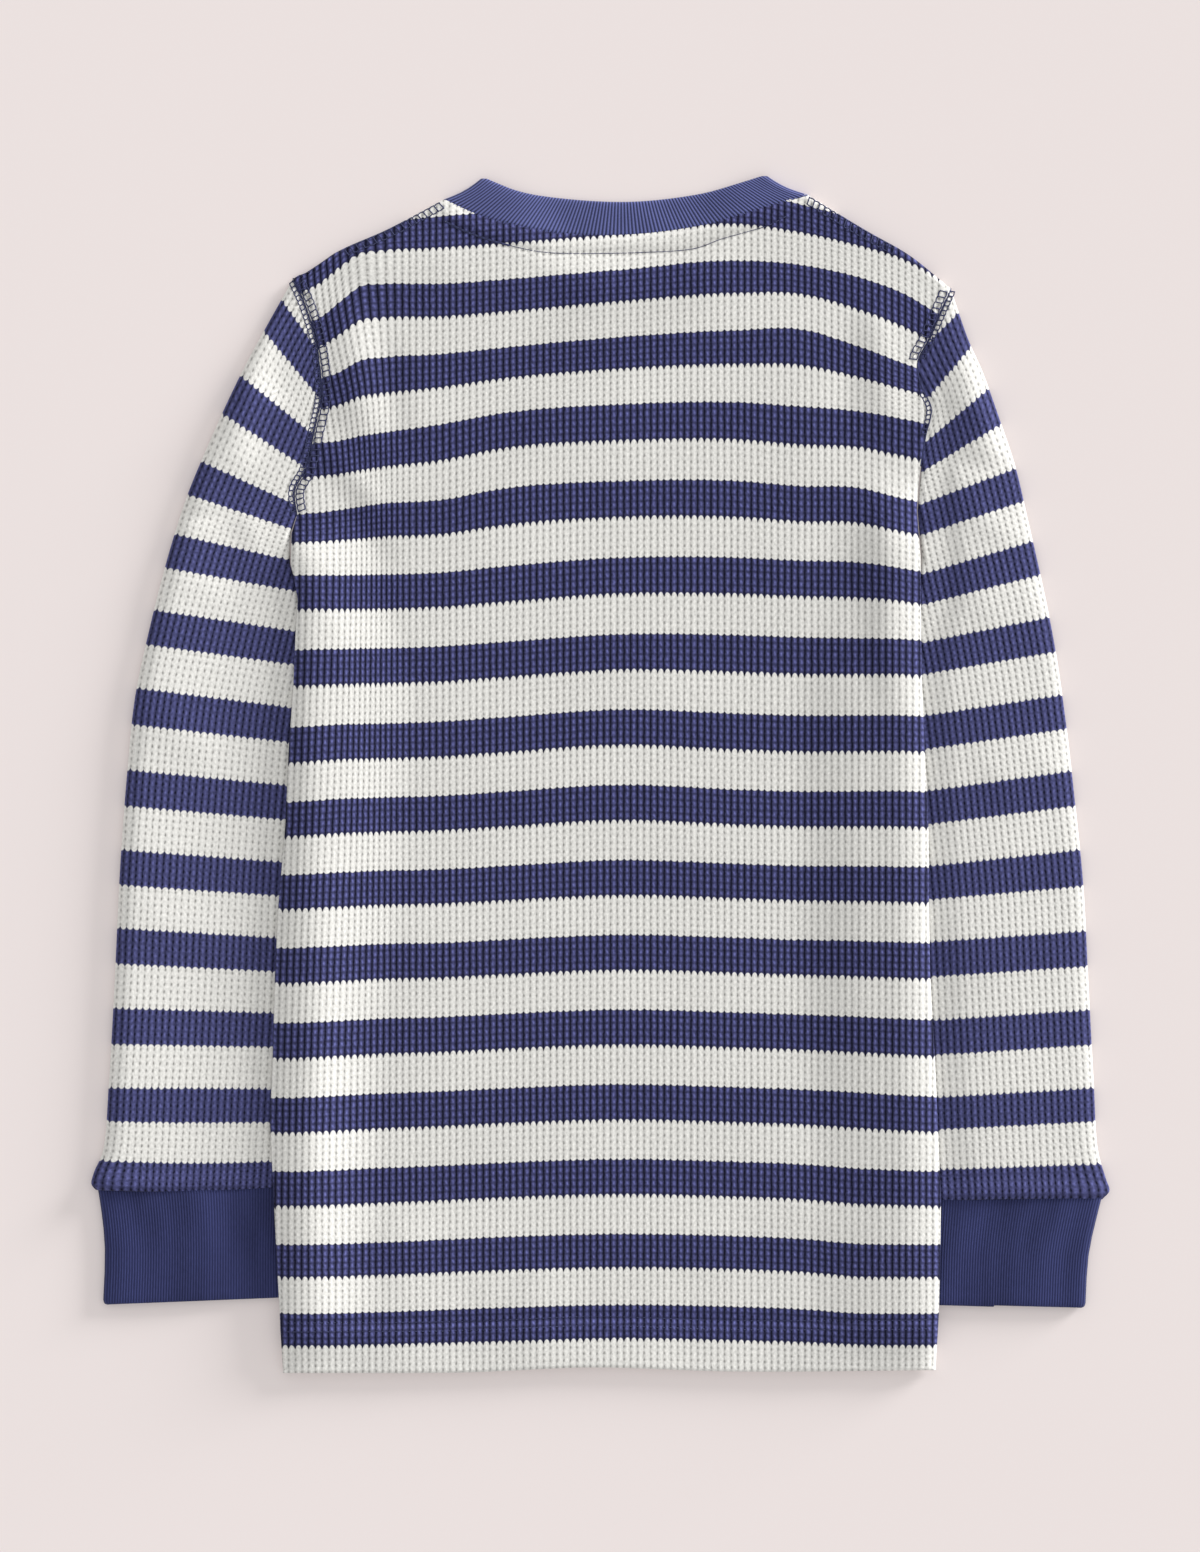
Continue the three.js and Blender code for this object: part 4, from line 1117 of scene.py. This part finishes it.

# %% [markdown]
# ### Yarn
# Cotton yarn has lighter and darker fibres. The bright back of a knitted loop is a painted highlight, laid
# on in the waffle material.

# %% Yarn group
yarn_tree, y_, y_in, y_out = new_group(
    "cotton_yarn",
    [("Cloth", VECTOR, None), ("Colour", COLOR, (0.5, 0.5, 0.5, 1)), ("Fleck", FLOAT, 0.3),
     ("Patches", FLOAT, 0.16)],
    [("Colour", COLOR), ("Height", FLOAT)],
)
stretch = y_.add("ShaderNodeVectorMath", {0: y_in.outputs["Cloth"], 1: (3.1, 2.2, 1)}, operation="MULTIPLY")
fleck_noise = y_.add("ShaderNodeTexNoise", {"Vector": stretch.outputs[0], "Scale": 1.0, "Detail": 3.0})
slow_noise = y_.add("ShaderNodeTexNoise", {"Vector": y_in.outputs["Cloth"], "Scale": 0.06, "Detail": 2.0})
fleck = y_.sum("MULTIPLY", y_.sum("SUBTRACT", fleck_noise.outputs[0], 0.5), y_in.outputs["Fleck"])
slow = y_.sum("MULTIPLY", y_.sum("SUBTRACT", slow_noise.outputs[0], 0.5), y_in.outputs["Patches"])
level = y_.sum("ADD", y_.sum("ADD", fleck, slow), 1.0)
y_.feed(y_out.inputs["Colour"], y_.scale(y_in.outputs["Colour"], level))
y_.feed(y_out.inputs["Height"], fleck_noise.outputs[0])

# %% Colours and the waffle material
IVORY = (0.83, 0.82, 0.785, 1)
NAVY = (0.084, 0.089, 0.228, 1)
RIB_NAVY = (0.035, 0.041, 0.120, 1)
NECK_NAVY = (0.085, 0.096, 0.232, 1)
THREAD_NAVY = (0.045, 0.05, 0.115, 1)


def cotton(name, sheen):
    material = bpy.data.materials.new(name)
    material.use_nodes = True
    nodes = Nodes(material.node_tree)
    shader = material.node_tree.nodes["Principled BSDF"]
    shader.inputs["Roughness"].default_value = 0.92
    shader.inputs["Specular IOR Level"].default_value = 0.08
    shader.inputs["Sheen Weight"].default_value = sheen
    shader.inputs["Sheen Roughness"].default_value = 0.45
    cloth = nodes.add("ShaderNodeUVMap", uv_map="cloth").outputs[0]
    return material, nodes, shader, cloth


def use_group(nodes, tree, inputs):
    node = nodes.add("ShaderNodeGroup")
    node.node_tree = tree
    for key, value in inputs.items():
        nodes.feed(node.inputs[key], value)
    return node


def waffle_material(name, tip, notch, bump, ivory_painted_shade, navy_painted_shade, gleam):
    """Each set of shades says how much painted shade darkens a gap, a pit and a waist in that colour; gleam
    is the strength of the painted highlight on the navy loops
    """
    material, nodes, shader, cloth = cotton(name, 0.05)
    edges = {"Tip": tip, "Notch": notch, "Bump": bump}
    pattern = use_group(nodes, waffle_tree, {"Cloth": cloth, **edges})
    navy = pattern.outputs["Navy"]
    colour = nodes.blend(navy, IVORY, NAVY)
    fleck = nodes.sum("MULTIPLY_ADD", navy, 0.9, 0.75)  # navy yarn looks less even than ivory
    yarn = use_group(nodes, yarn_tree, {"Cloth": cloth, "Colour": colour, "Fleck": fleck})
    # Painted highlight on the back of each navy loop
    painted_highlight = nodes.sum("MULTIPLY", pattern.outputs["Painted highlight"], navy)
    painted_light = nodes.sum("MULTIPLY_ADD", painted_highlight, gleam, 1.0)
    # Painted shade: each mask darkens the colour where shade falls in the knit's gaps, pits and waists
    for mask, ivory_shade, navy_shade in zip(("Gap", "Pit", "Waist"), ivory_painted_shade, navy_painted_shade):
        depth = nodes.sum("MULTIPLY_ADD", navy, navy_shade - ivory_shade, ivory_shade)
        left = nodes.sum("SUBTRACT", 1.0, nodes.sum("MULTIPLY", pattern.outputs[mask], depth))
        painted_light = nodes.sum("MULTIPLY", painted_light, left)
    nodes.feed(shader.inputs["Base Color"], nodes.scale(yarn.outputs["Colour"], painted_light))
    fibres = nodes.sum("MULTIPLY", yarn.outputs["Height"], 0.4)
    height = nodes.sum("SUBTRACT", fibres, pattern.outputs["Pit"])
    bump_map = nodes.add("ShaderNodeBump", {"Height": height, "Strength": 0.6, "Distance": 0.0004})
    nodes.feed(shader.inputs["Normal"], bump_map.outputs[0])
    return material


# The two sets of three numbers are painted shade in ivory and navy; the last number is the painted
# highlight
body_knit = waffle_material("body_waffle_knit", 2.82, 0.7, 0.3, (0.24, 0.46, 0.04), (0.93, 0.3, 0.4), 0.7)
sleeve_knit = waffle_material("sleeve_waffle_knit", 3.1, 0.4, 0.42, (0.1, 0.6, 0.05), (0.62, 0.9, 0.2), 0.4)

# %% [markdown]
# ### Rib and thread
# The rib is one colour, with painted shade in the groove between ribs and a painted highlight on each rib.
# The thread is the same navy, twisted.

# %% Rib and thread materials
def rib_material(name, colour, painted_rib_contrast, patches):
    material, nodes, shader, cloth = cotton(name, 0.15)
    parts = nodes.add("ShaderNodeSeparateXYZ", {0: cloth})
    wave = nodes.sum("COSINE", nodes.sum("MULTIPLY", parts.outputs[0], 2 * math.pi))
    ridge = nodes.sum("MULTIPLY_ADD", wave, 0.5, 0.5)
    yarn = use_group(nodes, yarn_tree, {"Cloth": cloth, "Colour": colour, "Fleck": 0.6, "Patches": patches})
    # Painted shade in each groove and painted highlight on each rib
    dark = nodes.sum("MULTIPLY_ADD", ridge, painted_rib_contrast, 1 - painted_rib_contrast / 2)
    nodes.feed(shader.inputs["Base Color"], nodes.scale(yarn.outputs["Colour"], dark))
    bump = nodes.add("ShaderNodeBump", {"Height": ridge, "Strength": 0.5, "Distance": 0.0003})
    nodes.feed(shader.inputs["Normal"], bump.outputs[0])
    return material


def thread_material():
    material, nodes, shader, cloth = cotton("navy_thread", 0.1)
    yarn = use_group(nodes, yarn_tree, {"Cloth": cloth, "Colour": THREAD_NAVY, "Fleck": 0.6})
    nodes.feed(shader.inputs["Base Color"], yarn.outputs["Colour"])
    return material


neck_rib = rib_material("neck_rib_knit", NECK_NAVY, 1.3, 0.6)
cuff_rib = rib_material("cuff_rib_knit", RIB_NAVY, 0.6, 1.5)
navy_thread = thread_material()

# %% Dress the pieces
DRESSED = [
    (back, body_knit, "back_panel", "waffle_knit"),
    (front, body_knit, "front_panel", "waffle_knit"),
    (left_sleeve, sleeve_knit, "sleeve_left", "waffle_knit"),
    (right_sleeve, sleeve_knit, "sleeve_right", "waffle_knit"),
    (left_cuff, cuff_rib, "cuff_left", "rib_knit"),
    (right_cuff, cuff_rib, "cuff_right", "rib_knit"),
    (neck_band, neck_rib, "neck_band", "rib_knit"),
    (seams, navy_thread, None, "rib_knit"),
    (hem_stitches, navy_thread, None, "rib_knit"),
    (facing_stitches_and_shadow, navy_thread, None, "rib_knit"),
]
for piece, material, node, slot in DRESSED:
    piece.data.materials.clear()
    piece.data.materials.append(material)
    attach(piece, "root")
    if node:
        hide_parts(node)

# %% [markdown]
# ## The cut of each piece
# A sheet states the size it was cut to. A shell has two sides, so its cut is half its surface.

# %% Sheets
def cut_of(piece, width, length):
    area = area_of(piece) / 2
    area = min(area, width * length)
    print(piece.name, "cut", round(area, 4), "square metres")


cut_of(back, 0.31, 0.55)
cut_of(front, 0.31, 0.55)
cut_of(left_sleeve, 0.20, 0.42)
cut_of(right_sleeve, 0.20, 0.42)
cut_of(left_cuff, 0.175, 0.055)
cut_of(right_cuff, 0.175, 0.055)
cut_of(neck_band, 0.36, 0.025)

# %% [markdown]
# ## Floor, light and camera
# The top lies on a plain pale floor under soft studio light from the upper right. A quarter of
# the floor's light is its own, so it stays pale while the low light still models the cloth. The
# camera looks straight down through a long lens.

# %% Floor
FLOOR_HALF = 3.0
floor_mesh = bpy.data.meshes.new("floor")
corners = [(-1, -1), (1, -1), (1, 1), (-1, 1)]
floor_mesh.from_pydata([(FLOOR_HALF * x, FLOOR_HALF * y, -0.0002) for x, y in corners], [], [(0, 1, 2, 3)])
floor = bpy.data.objects.new("floor", floor_mesh)
bpy.context.scene.collection.objects.link(floor)
floor_material = bpy.data.materials.new("pale_floor")
floor_material.use_nodes = True
floor_shader = floor_material.node_tree.nodes["Principled BSDF"]
FLOOR_COLOUR = (0.815, 0.742, 0.73)
FLOOR_GLOW = 0.25  # share of the floor's light that is its own, as on a light table
floor_shader.inputs["Base Color"].default_value = (*[(1 - FLOOR_GLOW) * c for c in FLOOR_COLOUR], 1)
floor_shader.inputs["Emission Color"].default_value = (*FLOOR_COLOUR, 1)
floor_shader.inputs["Emission Strength"].default_value = FLOOR_GLOW
floor_shader.inputs["Roughness"].default_value = 0.95
floor_shader.inputs["Specular IOR Level"].default_value = 0.1
floor_mesh.materials.append(floor_material)

# %% Light
LIGHTS = {  # direction towards the light, strength, and width in degrees
    "low_key": ((1.0, 0.7, 0.25), 4.3, 21),
    "overhead": ((0.25, 0.2, 1.0), 0.3, 70),
}
for name, (towards, strength, width) in LIGHTS.items():
    lamp_data = bpy.data.lights.new(name, "SUN")
    lamp_data.energy = strength
    lamp_data.angle = math.radians(width)
    lamp_data.color = (1, 0.99, 0.98)
    lamp = bpy.data.objects.new(name, lamp_data)
    lamp.rotation_euler = Vector(towards).to_track_quat("Z", "Y").to_euler()
    bpy.context.scene.collection.objects.link(lamp)
world = bpy.data.worlds.new("studio")
bpy.context.scene.world = world
world.use_nodes = True
world.node_tree.nodes["Background"].inputs[0].default_value = (1, 1, 1, 1)
world.node_tree.nodes["Background"].inputs[1].default_value = 0.66
bpy.context.scene.view_settings.view_transform = "Standard"

# %% Camera
MM_PER_PIXEL = 0.44
IMAGE_HEIGHT = 1552
CENTRE = (-0.2, 0.2)  # the image's middle in millimetres, 0.5 pixels from the origin
LENS, SENSOR = 120, 24
CLOTH_TOP = 0.006  # the scale holds at this height
view_height = IMAGE_HEIGHT * MM_PER_PIXEL * 0.001
camera_data = bpy.data.cameras.new("camera")
camera_data.sensor_fit = "VERTICAL"
camera_data.sensor_height = SENSOR
camera_data.lens = LENS
camera = bpy.data.objects.new("camera", camera_data)
camera.location = (CENTRE[0] * 0.001, CENTRE[1] * 0.001, CLOTH_TOP + view_height * LENS / SENSOR)
bpy.context.scene.collection.objects.link(camera)
bpy.context.scene.camera = camera
print("the camera stands", round(camera.location.z, 3), "m above the floor")
